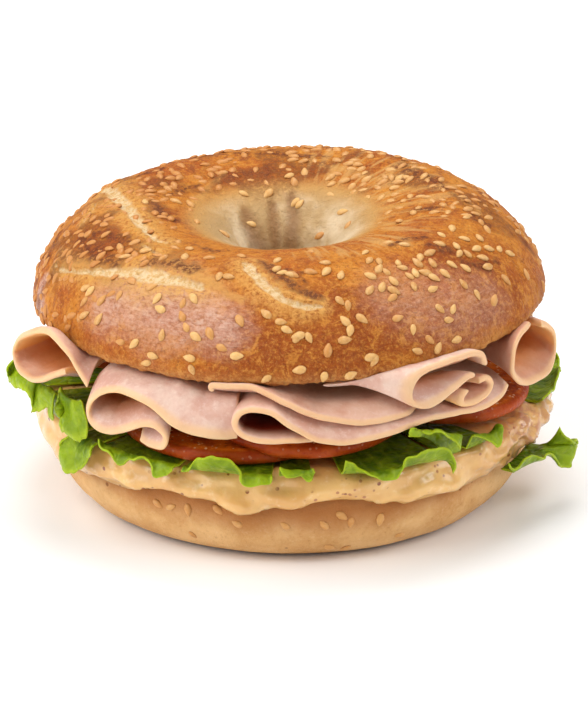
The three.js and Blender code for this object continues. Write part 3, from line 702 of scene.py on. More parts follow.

# %% [markdown]
# ### The baked finish
# Baking browns what stands out and spares what opens late. So the finish starts from a golden
# brown, is broken up by noise from broad to tiny, and then goes towards dark, rosy or cream
# where the strokes were painted. Some of the dark is painted shade, and the rosy sheen is partly
# painted reflection with a painted highlight. A rough gloss and very fine bumps make it bread and
# not plastic.

# %% Finish of the crown
crust = Finish("baked_crust")
broad = crust.cloudy(14, 3)
patchy = crust.cloudy(4.5, 5, 0.68, 0.8)
fine = crust.cloudy(1.0, 6, 0.75)
tiny = crust.cloudy(0.4, 3, 0.65)
wrinkles = crust.cloudy(1.0, 4, 0.65, 0.6, crust.painted("flow", "Vector"))
golden_brown = crust.blend((200, 120, 28), (crust.stretch(broad, 0.36, 0.64), (176, 88, 14)))
browner = crust.times(crust.stretch(patchy, 0.5, 0.64), crust.stretch("baked", 0, 1, 0.4, 0.9))
dough = crust.blend(
    golden_brown,
    ("brown", (158, 74, 6)),
    (crust.stretch(patchy, 0.48, 0.36, 0, 0.65), (216, 142, 52)),
    (browner, (150, 76, 26)),
    (crust.stretch(fine, 0.5, 0.64, 0, 0.55), (220, 150, 60)),
    (crust.stretch(fine, 0.48, 0.35, 0, 0.6), (126, 56, 12)),
    (crust.stretch(tiny, 0.54, 0.66, 0, 0.25), (226, 164, 82)),
)
# The smooth shining skin: a rosy colour that is partly painted reflection, with painted shade in the
# folds and a painted highlight, both following the wrinkles.
skin = crust.blend(
    dough,
    (crust.times("sheen", crust.stretch(fine, 0.38, 0.6, 0.4, 0.85)), (208, 158, 136)),
    (crust.times("sheen", crust.stretch(wrinkles, 0.48, 0.34, 0, 0.45)), (150, 86, 50)),
    (crust.times("sheen", crust.stretch(wrinkles, 0.46, 0.68, 0, 0.42)), (232, 196, 174)),
)
edge_speck = crust.times("low_edge", crust.stretch(fine, 0.4, 0.6, 0.3, 0.9))
pale_wall = crust.blend((230, 204, 166), (crust.stretch(broad, 0.35, 0.6), (194, 158, 108)))
marked = crust.blend(
    skin,
    (crust.times("halo", crust.stretch(fine, 0.3, 0.6)), (222, 164, 84)),
    (crust.times("golden", 0.8), (208, 148, 74)),
    (crust.times(crust.stretch("streaks", 0.35, 0.9), 0.65), (212, 158, 90)),
    (edge_speck, (202, 144, 82)),
    (crust.stretch("hole", 0, 0.5), (204, 152, 84)),
    (crust.stretch("hole", 0.3, 1), pale_wall),
)
ragged_dark = crust.times("blister", crust.stretch(fine, 0.4, 0.53, 0.05, 1))
ragged_pale = crust.plus("crack", crust.times(fine, 1.1))
torn_dough = crust.blend((236, 208, 162), (crust.stretch(fine, 0.42, 0.6), (214, 166, 100)))
shade = crust.blend(
    marked,
    (crust.times(ragged_dark, 0.9), (98, 42, 18)),
    (crust.stretch(ragged_pale, 0.7, 1.6), torn_dough),
    # Painted shade in the creases of the hole.
    (crust.times("crease", 0.6), (128, 76, 36)),
    ("crumb", (224, 200, 160)),
)
crust.shine(shade, roughness=crust.stretch("sheen", 0, 1, 0.56, 0.27), specular=0.22)
crust.soften(0.05, 3, 1.5, 0.8)
crust.raise_skin((patchy, 0.6), (wrinkles, 0.34), (crust.cells(1.2), -0.22), (fine, 0.42), (tiny, 0.16))
dress(crown, crust, "crust", "bagel_crown")

# %% [markdown]
# ## The lower half of the bread
# The heel is the same dough, but it lay on the baking board, so it is paler, smoother and has a
# flat foot. It is a ring round a section too. Only its side shows, so most points go there.

# %% Sizes and section of the heel
heel_cut = 20.0
heel_radius = 54.0
heel_swells = [(0.4, 2, 69), (0.3, 5, 0)]
heel_widest = 12.0
foot_radius = 43.0
heel_cut_radius = 52.6
heel_hole = 9.5
hole_foot = 14.0
wall_lean = 0.3
foot_steps = 44
wall_steps = 16
heel_around = 420


def heel_section(angle):
    """Radius and height of each point from the cut down the hole, under the foot and up."""
    radius = heel_radius + swelling(heel_swells, angle)
    line = [(heel_hole + 0.8, heel_cut), (heel_hole, 15), (heel_hole, 10), (heel_hole + 1.2, 5)]
    line += [(hole_foot, 0), (hole_foot + 10, 0), (foot_radius - 8, 0), (foot_radius - 1, 0)]
    across, up = quarter(foot_steps, 2.0)
    for a, u in zip(across[1:], up[1:]):
        line.append((foot_radius + a * (radius - foot_radius), heel_widest * (1 - u)))
    for share in np.linspace(0, 1, wall_steps)[1:]:
        lean = wall_lean * share + (heel_radius - heel_cut_radius) * share**3
        line.append((radius - lean, heel_widest + share * (heel_cut - heel_widest)))
    line += [(heel_cut_radius - 10, heel_cut), (heel_hole + 12, heel_cut)]
    return line


heel_angles, heel_sections, heel_points = sweep(heel_around, heel_section)
radius, height = np.moveaxis(heel_sections, -1, 0)
# Only the outer side gets relief, and not the foot or the cut face under the spread.
side = ease(radius, 42, 46) * ease(height, 0.1, 2.5) * (1 - ease(height, 18, 20))
relief = noises(heel_points, (0.3, 14, 2, 11), (0.06, 3, 3, 12), (0.035, 1.2, 2, 13))
heel_points = swell(heel_points, side * relief)
# The front is darkened as if it lay higher: painted shade at the front.
browned = height + 3 * bell(heel_angles, 0, 42)[:, None]
heel = make_ring("heel", heel_points, height=height, browned=browned)
print("heel grid:", heel_points.shape[:2])

# %% Finish of the heel
pale = Finish("pale_baked_crust")
broad = pale.cloudy(13, 3)
fine = pale.cloudy(0.9, 6, 0.72)
tiny = pale.cloudy(0.35, 3, 0.6)
brown_band_and_painted_shade = pale.plus("browned", pale.times(broad, 4.0))
foot = pale.plus("height", pale.times(fine, 0.6))
shade = pale.blend(
    (226, 180, 122),
    (pale.stretch(broad, 0.35, 0.65), (208, 156, 96)),
    (pale.stretch(fine, 0.48, 0.76, 0, 0.6), (228, 192, 146)),
    (pale.stretch(fine, 0.46, 0.24, 0, 0.6), (168, 112, 62)),
    # The band under the spread is a browner bake with a painted shadow of the spread, reaching lower at
    # the front.
    (pale.stretch(brown_band_and_painted_shade, 11, 19, 0, 0.9), (166, 100, 46)),
    (pale.stretch(foot, 1.5, 0.5, 0, 0.9), (128, 76, 34)),
    (pale.stretch(pale.cells(6.5), 0.1, 0.05, 0, 0.75), (128, 72, 36)),
)
pale.shine(shade, roughness=0.66, specular=0.2)
pale.soften(0.06, 3, 1.8, 1)
pale.raise_skin((fine, 0.28), (tiny, 0.08))
dress(heel, pale, "pale_crust", "bagel_heel")

# %% [markdown]
# ## Sesame seeds
# Hundreds of seeds stick to the crust. Copies by hand would take for ever, and a particle system
# is lost when the model is exported. Geometry Nodes scatter one small seed over the faces, lay it
# flat on the skin and make real mesh of it. Seeds that stand out at the front are placed one by
# one, by where they show. The foot of a seed is darker, a browner rim with painted shade where it
# meets the crust, so that each one is drawn clearly.

# %% One seed
seed_length = 3.0
seed_width = 1.9
seed_height = 1.2
# The rings of the seed: where each lies along it, and how thick it is there.
seed_rings = [(-0.93, 0.42), (-0.6, 0.84), (-0.1, 1.0), (0.4, 0.72), (0.78, 0.36)]
points_in_ring = 8


def make_seed():
    """A flat drop of a few dozen faces, pointed at one end."""
    turn = np.linspace(0, 2 * math.pi, points_in_ring, endpoint=False)
    points = [[-seed_length / 2, 0, 0]]
    for station, girth in seed_rings:
        for t in turn:
            flat = math.sin(t) * (0.55 if math.sin(t) > 0 else 0.35) * girth**0.7 * seed_height
            points.append([station * seed_length / 2, girth * math.cos(t) * seed_width / 2, flat])
    points.append([seed_length / 2, 0, 0])
    # The foot, where the seed meets the crust, later gets a browner rim and painted shade.
    foot = [1.0, *(math.sin(t) < 0.1 for _ in seed_rings for t in turn), 1.0]
    last = len(points) - 1
    after = [(i + 1) % points_in_ring for i in range(points_in_ring)]
    faces = [[0, 1 + j, 1 + i] for i, j in enumerate(after)]
    for row in range(len(seed_rings) - 1):
        start = 1 + row * points_in_ring
        for i, j in enumerate(after):
            before = [start + i, start + j]
            faces.append([*before, before[1] + points_in_ring, before[0] + points_in_ring])
    faces += [[last, last - points_in_ring + i, last - points_in_ring + j] for i, j in enumerate(after)]
    return make_piece("seed", np.array(points), faces, foot=foot)


seed = make_seed()
print("faces of a seed:", len(seed.data.polygons))

# %% Nodes that lay seeds
sesame = Finish("sesame")


def add_input(tree, name, kind, value=None):
    """A named input of a tree of Geometry Nodes."""
    socket = tree.interface.new_socket(name, in_out="INPUT", socket_type=kind)
    if value is not None:
        socket.default_value = value


def new_seed_tree(name):
    """A tree with a mesh and a seed as its first inputs, and a mesh as its output."""
    tree = bpy.data.node_groups.new(name, "GeometryNodeTree")
    add_input(tree, "Geometry", "NodeSocketGeometry")
    add_input(tree, "Kernel", "NodeSocketObject")
    tree.interface.new_socket("Geometry", in_out="OUTPUT", socket_type="NodeSocketGeometry")
    return tree


def chance(tree, low, high, draw, kind="FLOAT"):
    """A number or a vector between two ends, drawn anew for each seed."""
    inputs = {"Min": low, "Max": high, "Seed": draw}
    return add_node(tree, "FunctionNodeRandomValue", inputs, data_type=kind).outputs["Value"]


def read(tree, name, kind):
    """A number or a vector that is stored at the points."""
    node = add_node(tree, "GeometryNodeInputNamedAttribute", {"Name": name}, data_type=kind)
    return node.outputs["Attribute"]


def lay_seeds(tree, points, rotation, group_in):
    """Puts a seed on each point, each a little different, and makes real mesh of them."""
    kernel = {"Object": group_in.outputs["Kernel"], "As Instance": True}
    info = add_node(tree, "GeometryNodeObjectInfo", kernel)
    copies = {"Points": points, "Rotation": rotation, "Instance": info.outputs["Geometry"]}
    copies["Scale"] = chance(tree, 0.84, 1.1, 5)
    laid = add_node(tree, "GeometryNodeInstanceOnPoints", copies).outputs[0]
    tone = {"Geometry": laid, "Name": "tone", "Value": chance(tree, 0.0, 1.0, 9)}
    kinds = {"data_type": "FLOAT", "domain": "INSTANCE"}
    toned = add_node(tree, "GeometryNodeStoreNamedAttribute", tone, **kinds).outputs[0]
    real = add_node(tree, "GeometryNodeRealizeInstances", {"Geometry": toned}).outputs[0]
    dressed = {"Geometry": real, "Material": sesame.material}
    coated = add_node(tree, "GeometryNodeSetMaterial", dressed).outputs[0]
    smooth = add_node(tree, "GeometryNodeSetShadeSmooth", {"Geometry": coated}).outputs[0]
    add_node(tree, "NodeGroupOutput", {0: smooth})
    return tree


def scatter_tree():
    """Seeds over the faces of a mesh, as thick as its attribute says."""
    tree = new_seed_tree("scatter_seeds")
    add_input(tree, "Smallest Gap", "NodeSocketFloat", 1.75 * MM)
    add_input(tree, "Most per Square Metre", "NodeSocketFloat", 150000.0)
    add_input(tree, "Draw", "NodeSocketInt", 1)
    group_in = tree.nodes.new("NodeGroupInput")
    asked = group_in.outputs
    density = {"Mesh": asked["Geometry"], "Distance Min": asked["Smallest Gap"], "Seed": asked["Draw"]}
    density["Density Max"] = asked["Most per Square Metre"]
    density["Density Factor"] = read(tree, "seeding", "FLOAT")
    poisson = {"distribute_method": "POISSON"}
    spots = add_node(tree, "GeometryNodeDistributePointsOnFaces", density, **poisson).outputs
    turn = chance(tree, (-0.2, -0.2, 0), (0.2, 0.2, 2 * math.pi), 3, "FLOAT_VECTOR")
    spin = add_node(tree, "FunctionNodeEulerToRotation", {"Euler": turn}).outputs[0]
    turns = {"Rotation": spots["Rotation"], "Rotate By": spin}
    lie = add_node(tree, "FunctionNodeRotateRotation", turns, rotation_space="LOCAL").outputs[0]
    down = {0: spots["Normal"], "Scale": chance(tree, -0.5 * MM, 0.0, 7)}
    sink = add_node(tree, "ShaderNodeVectorMath", down, operation="SCALE").outputs[0]
    sunk = {"Geometry": spots["Points"], "Offset": sink}
    moved = add_node(tree, "GeometryNodeSetPosition", sunk).outputs[0]
    return lay_seeds(tree, moved, lie, group_in)


def placed_tree():
    """A seed on each point of a mesh, turned as its attribute says."""
    tree = new_seed_tree("place_seeds")
    group_in = tree.nodes.new("NodeGroupInput")
    turns = {"Euler": read(tree, "lie", "FLOAT_VECTOR")}
    turned = add_node(tree, "FunctionNodeEulerToRotation", turns).outputs[0]
    return lay_seeds(tree, group_in.outputs["Geometry"], turned, group_in)


def run_tree(name, base, tree, **inputs):
    """Runs a tree on a copy of the base and keeps the result as a plain mesh."""
    carrier = bpy.data.objects.new(name, base.data.copy())
    bpy.context.scene.collection.objects.link(carrier)
    modifier = carrier.modifiers.new("nodes", "NODES")
    modifier.node_group = tree
    for item in tree.interface.items_tree:
        if item.in_out == "INPUT" and item.name in inputs:
            modifier[item.identifier] = inputs[item.name]
    depsgraph = bpy.context.evaluated_depsgraph_get()
    mesh = bpy.data.meshes.new_from_object(carrier.evaluated_get(depsgraph))
    carrier.modifiers.clear()
    carrier.data = mesh
    mesh.name = name
    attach(carrier, "root")
    print(name, len(mesh.polygons), "faces")


# %% Scatter the seeds of the top, the sides and the back
# They were baked with the crust, so most of them are nearly as brown. "toast" says how much. The
# front gets no seeds here, since each of its seeds has a place of its own in the next step.
front = ease(-y, 4, 14) * (1 - ease(-x, 20, 32) * (1 - ease(-y, 30, 38)))
thickest = ease(from_crest, -0.7, -0.35) * (1 - ease(from_crest, 0.62, 0.92))
clumps = ease(uneven(crown_points, 8, 2, 21), -0.3, 0.2)
seeding = thickest * (0.45 + 0.55 * clumps) * (1 - 0.9 * crack)
seeding += 0.06 * ease(from_crest, 0.5, 0.8) * ease(z, 2, 4)
toast = 0.35 + 0.6 * ease(-x + 0.4 * y, 0, 25) + 0.4 * far_side * ease(from_crest, -0.3, 0.3)
store(crown.data, "seeding", np.clip(seeding * is_crust * (1 - front), 0, 1))
store(crown.data, "toast", np.clip(toast, 0, 1))
run_tree("crown_seeds", crown, scatter_tree(), Kernel=seed)

# %% Place the seeds that stand out, by where they show
loose_seeds = [
    (86, 288), (90, 292), (85, 315), (99, 319), (157, 299), (160, 309), (194, 299), (162, 335),
    (196, 337), (134, 344), (153, 356), (146, 363), (189, 358), (192, 370), (237, 356), (266, 314),
    (281, 322), (287, 330), (297, 337), (266, 379), (219, 277), (229, 277), (277, 261), (277, 269),
    (282, 273), (291, 275), (125, 257), (146, 251), (189, 249), (185, 257), (251, 224), (268, 194),
    (244, 194), (289, 176), (145, 202), (176, 202), (224, 234), (326, 272), (325, 263), (341, 275),
    (369, 261), (379, 262), (379, 269), (370, 276), (393, 281), (370, 290), (382, 287), (394, 291),
    (340, 301), (345, 321), (350, 331), (345, 340), (362, 319), (298, 336), (309, 338), (398, 263),
    (417, 263), (432, 263), (452, 265), (465, 268), (425, 273), (434, 278), (445, 274), (409, 276),
    (415, 273), (414, 287), (433, 289), (463, 284), (477, 295), (440, 309), (453, 309), (449, 320),
    (413, 330), (456, 340), (438, 348), (417, 351), (371, 357), (374, 361), (299, 370), (324, 377),
    (351, 375), (466, 218), (441, 235), (464, 239), (456, 246), (476, 249), (482, 258), (487, 267),
    (489, 249), (499, 249), (510, 254), (467, 254), (439, 244), (430, 253), (365, 253), (388, 243),
    (404, 245), (330, 178), (343, 212), (295, 203), (300, 204), (400, 178), (459, 254), (479, 238),
    (452, 229), (402, 268), (386, 272), (420, 258),
]
baked_seeds = [
    (183, 303), (182, 316), (186, 327), (120, 342), (222, 348), (240, 321), (132, 281), (119, 296),
    (152, 287), (120, 247), (134, 243), (175, 248), (241, 256), (222, 173), (168, 189), (190, 204),
    (197, 222), (163, 258), (209, 258), (392, 298), (319, 236), (348, 225), (293, 275), (311, 272),
    (311, 252), (526, 274), (488, 218), (348, 306), (102, 300), (210, 334), (398, 318), (430, 340),
    (494, 300), (506, 280), (328, 350), (84, 302),
]
heel_seeds = [
    (158, 504), (171, 507), (188, 510), (218, 510), (237, 524), (193, 535), (324, 525), (342, 516),
    (351, 523), (285, 526), (380, 520), (400, 535), (330, 547), (345, 548),
]


def place_seeds(name, groups):
    """Seeds where they show, laid flat on the skin and turned at random. A group is the skin, the
    places in the view, how brown the seeds are and how deep they sink."""
    draw = np.random.default_rng(4)
    places = []
    turns = []
    toasts = []
    for skin, pixels, toast_here, depth in groups:
        for across, down in pixels:
            hit, normal = seen_on(skin, across, down)
            if hit is None:
                continue
            if normal.dot(sight_line(across, down)) > 0:
                normal = -normal
            upright = Vector((0, 0, 1)).rotation_difference(normal)
            spin = Quaternion((0, 0, 1), draw.uniform(0, 2 * math.pi))
            turns.append((upright @ spin).to_euler())
            places.append(hit - normal * depth)
            toasts.append(toast_here)
    points = make_piece(name + "_places", np.array(places), [], toast=toasts, lie=turns)
    run_tree(name, points, placed_tree(), Kernel=seed)
    bpy.data.objects.remove(points)


crown_skin = skin_finder(crown_points)
heel_skin = skin_finder(heel_points)
place_seeds("front_seeds", [
    (crown_skin, loose_seeds, 0.1, 0.0),
    (crown_skin, baked_seeds, 0.6, 0.08),
    (heel_skin, heel_seeds, 0.6, 0.1),
])

# %% Finish of the seeds
shade = sesame.blend(
    (222, 176, 108),
    ("tone", (200, 146, 82)),
    (sesame.stretch(sesame.cloudy(0.8, 3), 0.4, 0.7, 0, 0.35), (234, 202, 146)),
    (sesame.times("toast", 0.8), (190, 120, 54)),
    # A darker foot: a browner rim and painted shade where the seed meets the crust.
    (sesame.stretch("foot", 0.45, 1, 0, 0.85), (142, 82, 32)),
)
sesame.shine(shade, roughness=0.4, specular=0.3)
sesame.soften(0.1, 1, 0.7, 0.4)
print("seed finish:", len(sesame.tree.nodes), "nodes")

# %% [markdown]
# ## The spread
# A thick creamy spread covers the cut face and creeps over the edge in slow drips. It is a skin
# round the top of the heel: a ring again, whose lower edge goes up and down where it dripped.
# At the right it is torn and browner.

# %% Shape of the spread
spread_top = 23.4
spread_inner = 15.0
spread_reach = 56.4
side_reach = 2.4
side_angle = 82
side_width = 38
spread_swells = [(0.4, 7, 0)]
spread_skin = 1.3
torn_angle = 66
torn_width = 13
gap = 0.3
spread_around = 560
# The lower edge of the drips, as angle and height round the heel.
drip_edge = [
    (-120, 15.6), (-90, 14.2), (-65, 12.2), (-47, 13.9), (-40, 14), (-33, 16.5), (-25, 16.7),
    (-18, 15.9), (-9.5, 13.6), (-3, 15.4), (5, 16.8), (15, 16.7), (22, 14.9), (30, 14), (42, 14),
    (58, 14.7), (80, 15), (110, 15.6), (150, 14.6), (185, 16.2), (215, 14.4),
]


def round_list(pairs, angle):
    """The value at an angle of a list that runs round the ring, smoothly joined."""
    first = pairs[0][0]
    turned = (angle - first) % 360 + first
    closed = [*pairs, (first + 360, pairs[0][1])]
    for (start, low), (end, high) in zip(closed, closed[1:]):
        if turned <= end:
            return low + (high - low) * float(ease(turned, start, end))


def spread_section(angle):
    """Radius and height round the section of the spread at one angle."""
    reach = spread_reach + side_reach * bell(angle, side_angle, side_width)
    reach += swelling(spread_swells, angle)
    lowest = round_list(drip_edge, angle)
    wall = heel_radius + 0.7 + gap
    under = heel_cut + gap
    belly = 0.45 + 0.5 * float(ease(17 - lowest, 0, 3))
    outline = [(spread_inner, under), (spread_inner, spread_top - 0.8), (spread_inner + 2, spread_top)]
    outline += [(spread_inner + 14, spread_top), (reach - 9, spread_top), (reach - 3.2, spread_top)]
    outline += [(reach - 0.7, spread_top - 1.2), (reach + 0.2, heel_cut - 0.4)]
    outline += [(wall + spread_skin + belly, lowest + 2.0), (wall + spread_skin, lowest + 0.7)]
    outline += [(wall + 0.5, lowest), (wall, lowest + 0.6), (wall, under - 1.2), (wall, under)]
    return smooth_path(outline, 84)


spread_angles, spread_sections, spread_points = sweep(spread_around, spread_section)
radius, height = np.moveaxis(spread_sections, -1, 0)
top_edge = ease(radius, 50, 55) * ease(height, 22.5, 23.2)
outer = np.maximum(ease(radius, 55.2, 56.0), top_edge)
# Drips run down, so the noise that moves them is drawn out upwards.
flowing = spread_points * (1, 1, 1.7)
relief = noises(flowing, (1.7, 8, 1, 31), (0.5, 3.6, 1, 32))
relief += 1.3 * bell(spread_angles, 68, 20)[:, None] * uneven(flowing, 4, 3, 33)
torn = np.broadcast_to(bell(spread_angles, torn_angle, torn_width)[:, None], outer.shape)
spread = make_ring("spread_skin", swell(spread_points, outer * relief), torn=torn)
print("spread grid:", spread_points.shape[:2])

# %% Finish of the spread
cream = Finish("creamy_spread")
soft = cream.cloudy(2.2, 4, 0.6)
grainy = cream.cells(1.7)
speck_here = cream.stretch(cream.cloudy(6, 2), 0.46, 0.56)
chunk_here = cream.stretch(cream.cloudy(10, 2), 0.54, 0.62)
shade = cream.blend(
    (232, 184, 110),
    (cream.stretch(cream.cloudy(9, 3), 0.35, 0.65), (218, 164, 92)),
    (cream.stretch(soft, 0.52, 0.72, 0, 0.45), (240, 208, 160)),
    (cream.times(cream.stretch(cream.cells(2.8), 0.2, 0.12), speck_here), (140, 72, 36)),
    (cream.times("torn", cream.stretch(soft, 0.4, 0.62, 0.25, 1)), (196, 136, 96)),
    (cream.times(cream.stretch(grainy, 0.3, 0.16, 0, 0.8), chunk_here), (164, 92, 58)),
)
cream.shine(shade, roughness=0.3, specular=0.4, coat=0.7, coat_roughness=0.12)
cream.soften(0.15, 3, 1.8, 1)
cream.raise_skin((soft, 0.12), (grainy, -0.08))
dress(spread, cream, "spread", "spread")

# %% [markdown]
# ## Tomato slices
# A slice of tomato is a flat disc with a tight skin round it and wet flesh between. A lathe
# shape with rounded edges does it. Some slices lean on others, tilted by a few degrees.

# %% Shape of the tomato slices
tomato_thickness = 3.5
tomato_reach = 57.3
tomato_slices = [
    # angle, radius, lowest place, lean
    (-22, 27, 25, 0),
    (62, 22, 26.2, 5),
    (168, 25, 25, 0),
    (5, 22.5, 27, 4.5),
    (-112, 24, 26.4, 4.5),
]


def lie_on(points, below):
    """Lifts points off the slices below them, which lie flat."""
    for angle, radius, lowest, lean in below:
        middle = place(angle, tomato_reach - radius, 0)
        over = np.hypot(*(points - middle)[:, :2].T) < radius + gap
        top = lowest + tomato_thickness + gap
        if not lean:
            points[over, 2] = np.maximum(points[over, 2], top)
    return points


def tomato_disc(number, angle, radius, lowest, lean):
    """A rounded disc, a little uneven, in the place of one slice."""
    half = tomato_thickness / 2
    flat_top = [(0, half), (8, half), (radius - 8, half), (radius - 3, half)]
    rim = [(-1.1, 0.96), (-0.3, 0.6), (0, 0), (-0.3, -0.6), (-1.1, -0.96)]
    outline = flat_top + [(radius + inside, half * up) for inside, up in rim]
    outline += [(across, -half) for across, _ in flat_top[::-1]]
    profile = smooth_path(outline, 54)[1:-1]
    turns = np.linspace(0, 360, 120, endpoint=False)
    wavy = 1 + 0.008 * np.sin(np.radians(3 * turns + 50 * number))
    disc = place(turns[:, None], np.maximum(profile[:, 0], 0) * wavy[:, None], profile[:, 1])
    rows, columns = disc.shape[:2]
    flat = np.vstack([disc.reshape(-1, 3), [[0, 0, half], [0, 0, -half]]])
    flesh = np.hypot(flat[:, 0], flat[:, 1]) < radius - 1.5
    flat[:, 2] += 0.12 * uneven(flat, 5, 2, 60 + number) * flesh
    from_edge = np.broadcast_to(radius - profile[:, 0], (rows, columns)).ravel()
    from_edge = np.append(from_edge, [radius, radius])
    faces = [list(f) for f in grid_faces(rows, columns, True)]
    for i in range(rows):
        start = i * columns
        after = (i + 1) % rows * columns
        faces.append([after, start, rows * columns])
        faces.append([start + columns - 1, after + columns - 1, rows * columns + 1])
    tip = np.array(Matrix.Rotation(math.radians(lean), 3, "X"))
    turn = np.array(Matrix.Rotation(math.radians(angle), 3, "Z"))
    lift = radius * math.sin(math.radians(lean))
    placed = flat @ tip.T + (0, radius - tomato_reach, lowest + half + lift)
    points = lie_on(placed @ turn.T, tomato_slices[:number - 1])
    return make_solid(f"tomato_{number}", points, faces, from_edge=from_edge)


tomatoes = [tomato_disc(i + 1, *values) for i, values in enumerate(tomato_slices)]
print("tomato slices:", len(tomatoes))

# %% Finish of the tomato slices
tomato = Finish("wet_tomato")
fine = tomato.cloudy(1.2, 4, 0.6)
shade = tomato.blend(
    (232, 120, 24),
    (tomato.stretch(tomato.cloudy(5, 4), 0.35, 0.65), (174, 70, 10)),
    (tomato.stretch(fine, 0.5, 0.72, 0, 0.6), (228, 138, 56)),
    (tomato.stretch(fine, 0.45, 0.3, 0, 0.7), (120, 34, 6)),
    # Tiny pale specks: painted glints of the wet flesh.
    (tomato.stretch(tomato.cells(1.5), 0.24, 0.14, 0, 0.9), (240, 196, 150)),
    (tomato.stretch("from_edge", 1.6, 0.6, 0, 0.8), (150, 50, 12)),
)
tomato.shine(shade, roughness=0.34, specular=0.14)
tomato.soften(0.15, 3, 1, 0.5)
tomato.raise_skin((fine, 0.25))
for i, piece in enumerate(tomatoes):
    dress(piece, tomato, "tomato", f"tomato_slice_{i + 1}")

# %% [markdown]
# ## Folded ham
# Thin slices of ham are folded into loose rolls, with the rims showing and the rest pressed flat
# under the bread. Cloth simulation could drop them in, but would not land these very folds. So
# each slice is drawn as its rim: a smooth line of angle, radius and height along the folds. The
# sheet runs inwards from the rim, and the bread presses it together behind the edge.

# %% Sizes of the ham
ham_thickness = 1.5
ham_swing = 32
pressed_radius = 54.5
middle_radius = 24
middle_level = 40.6
drawn_radius = 60
mm_per_degree = drawn_radius * math.pi / 180
rim_to_press = drawn_radius - pressed_radius
back_shorter = 3.4
back_highest = 46.6

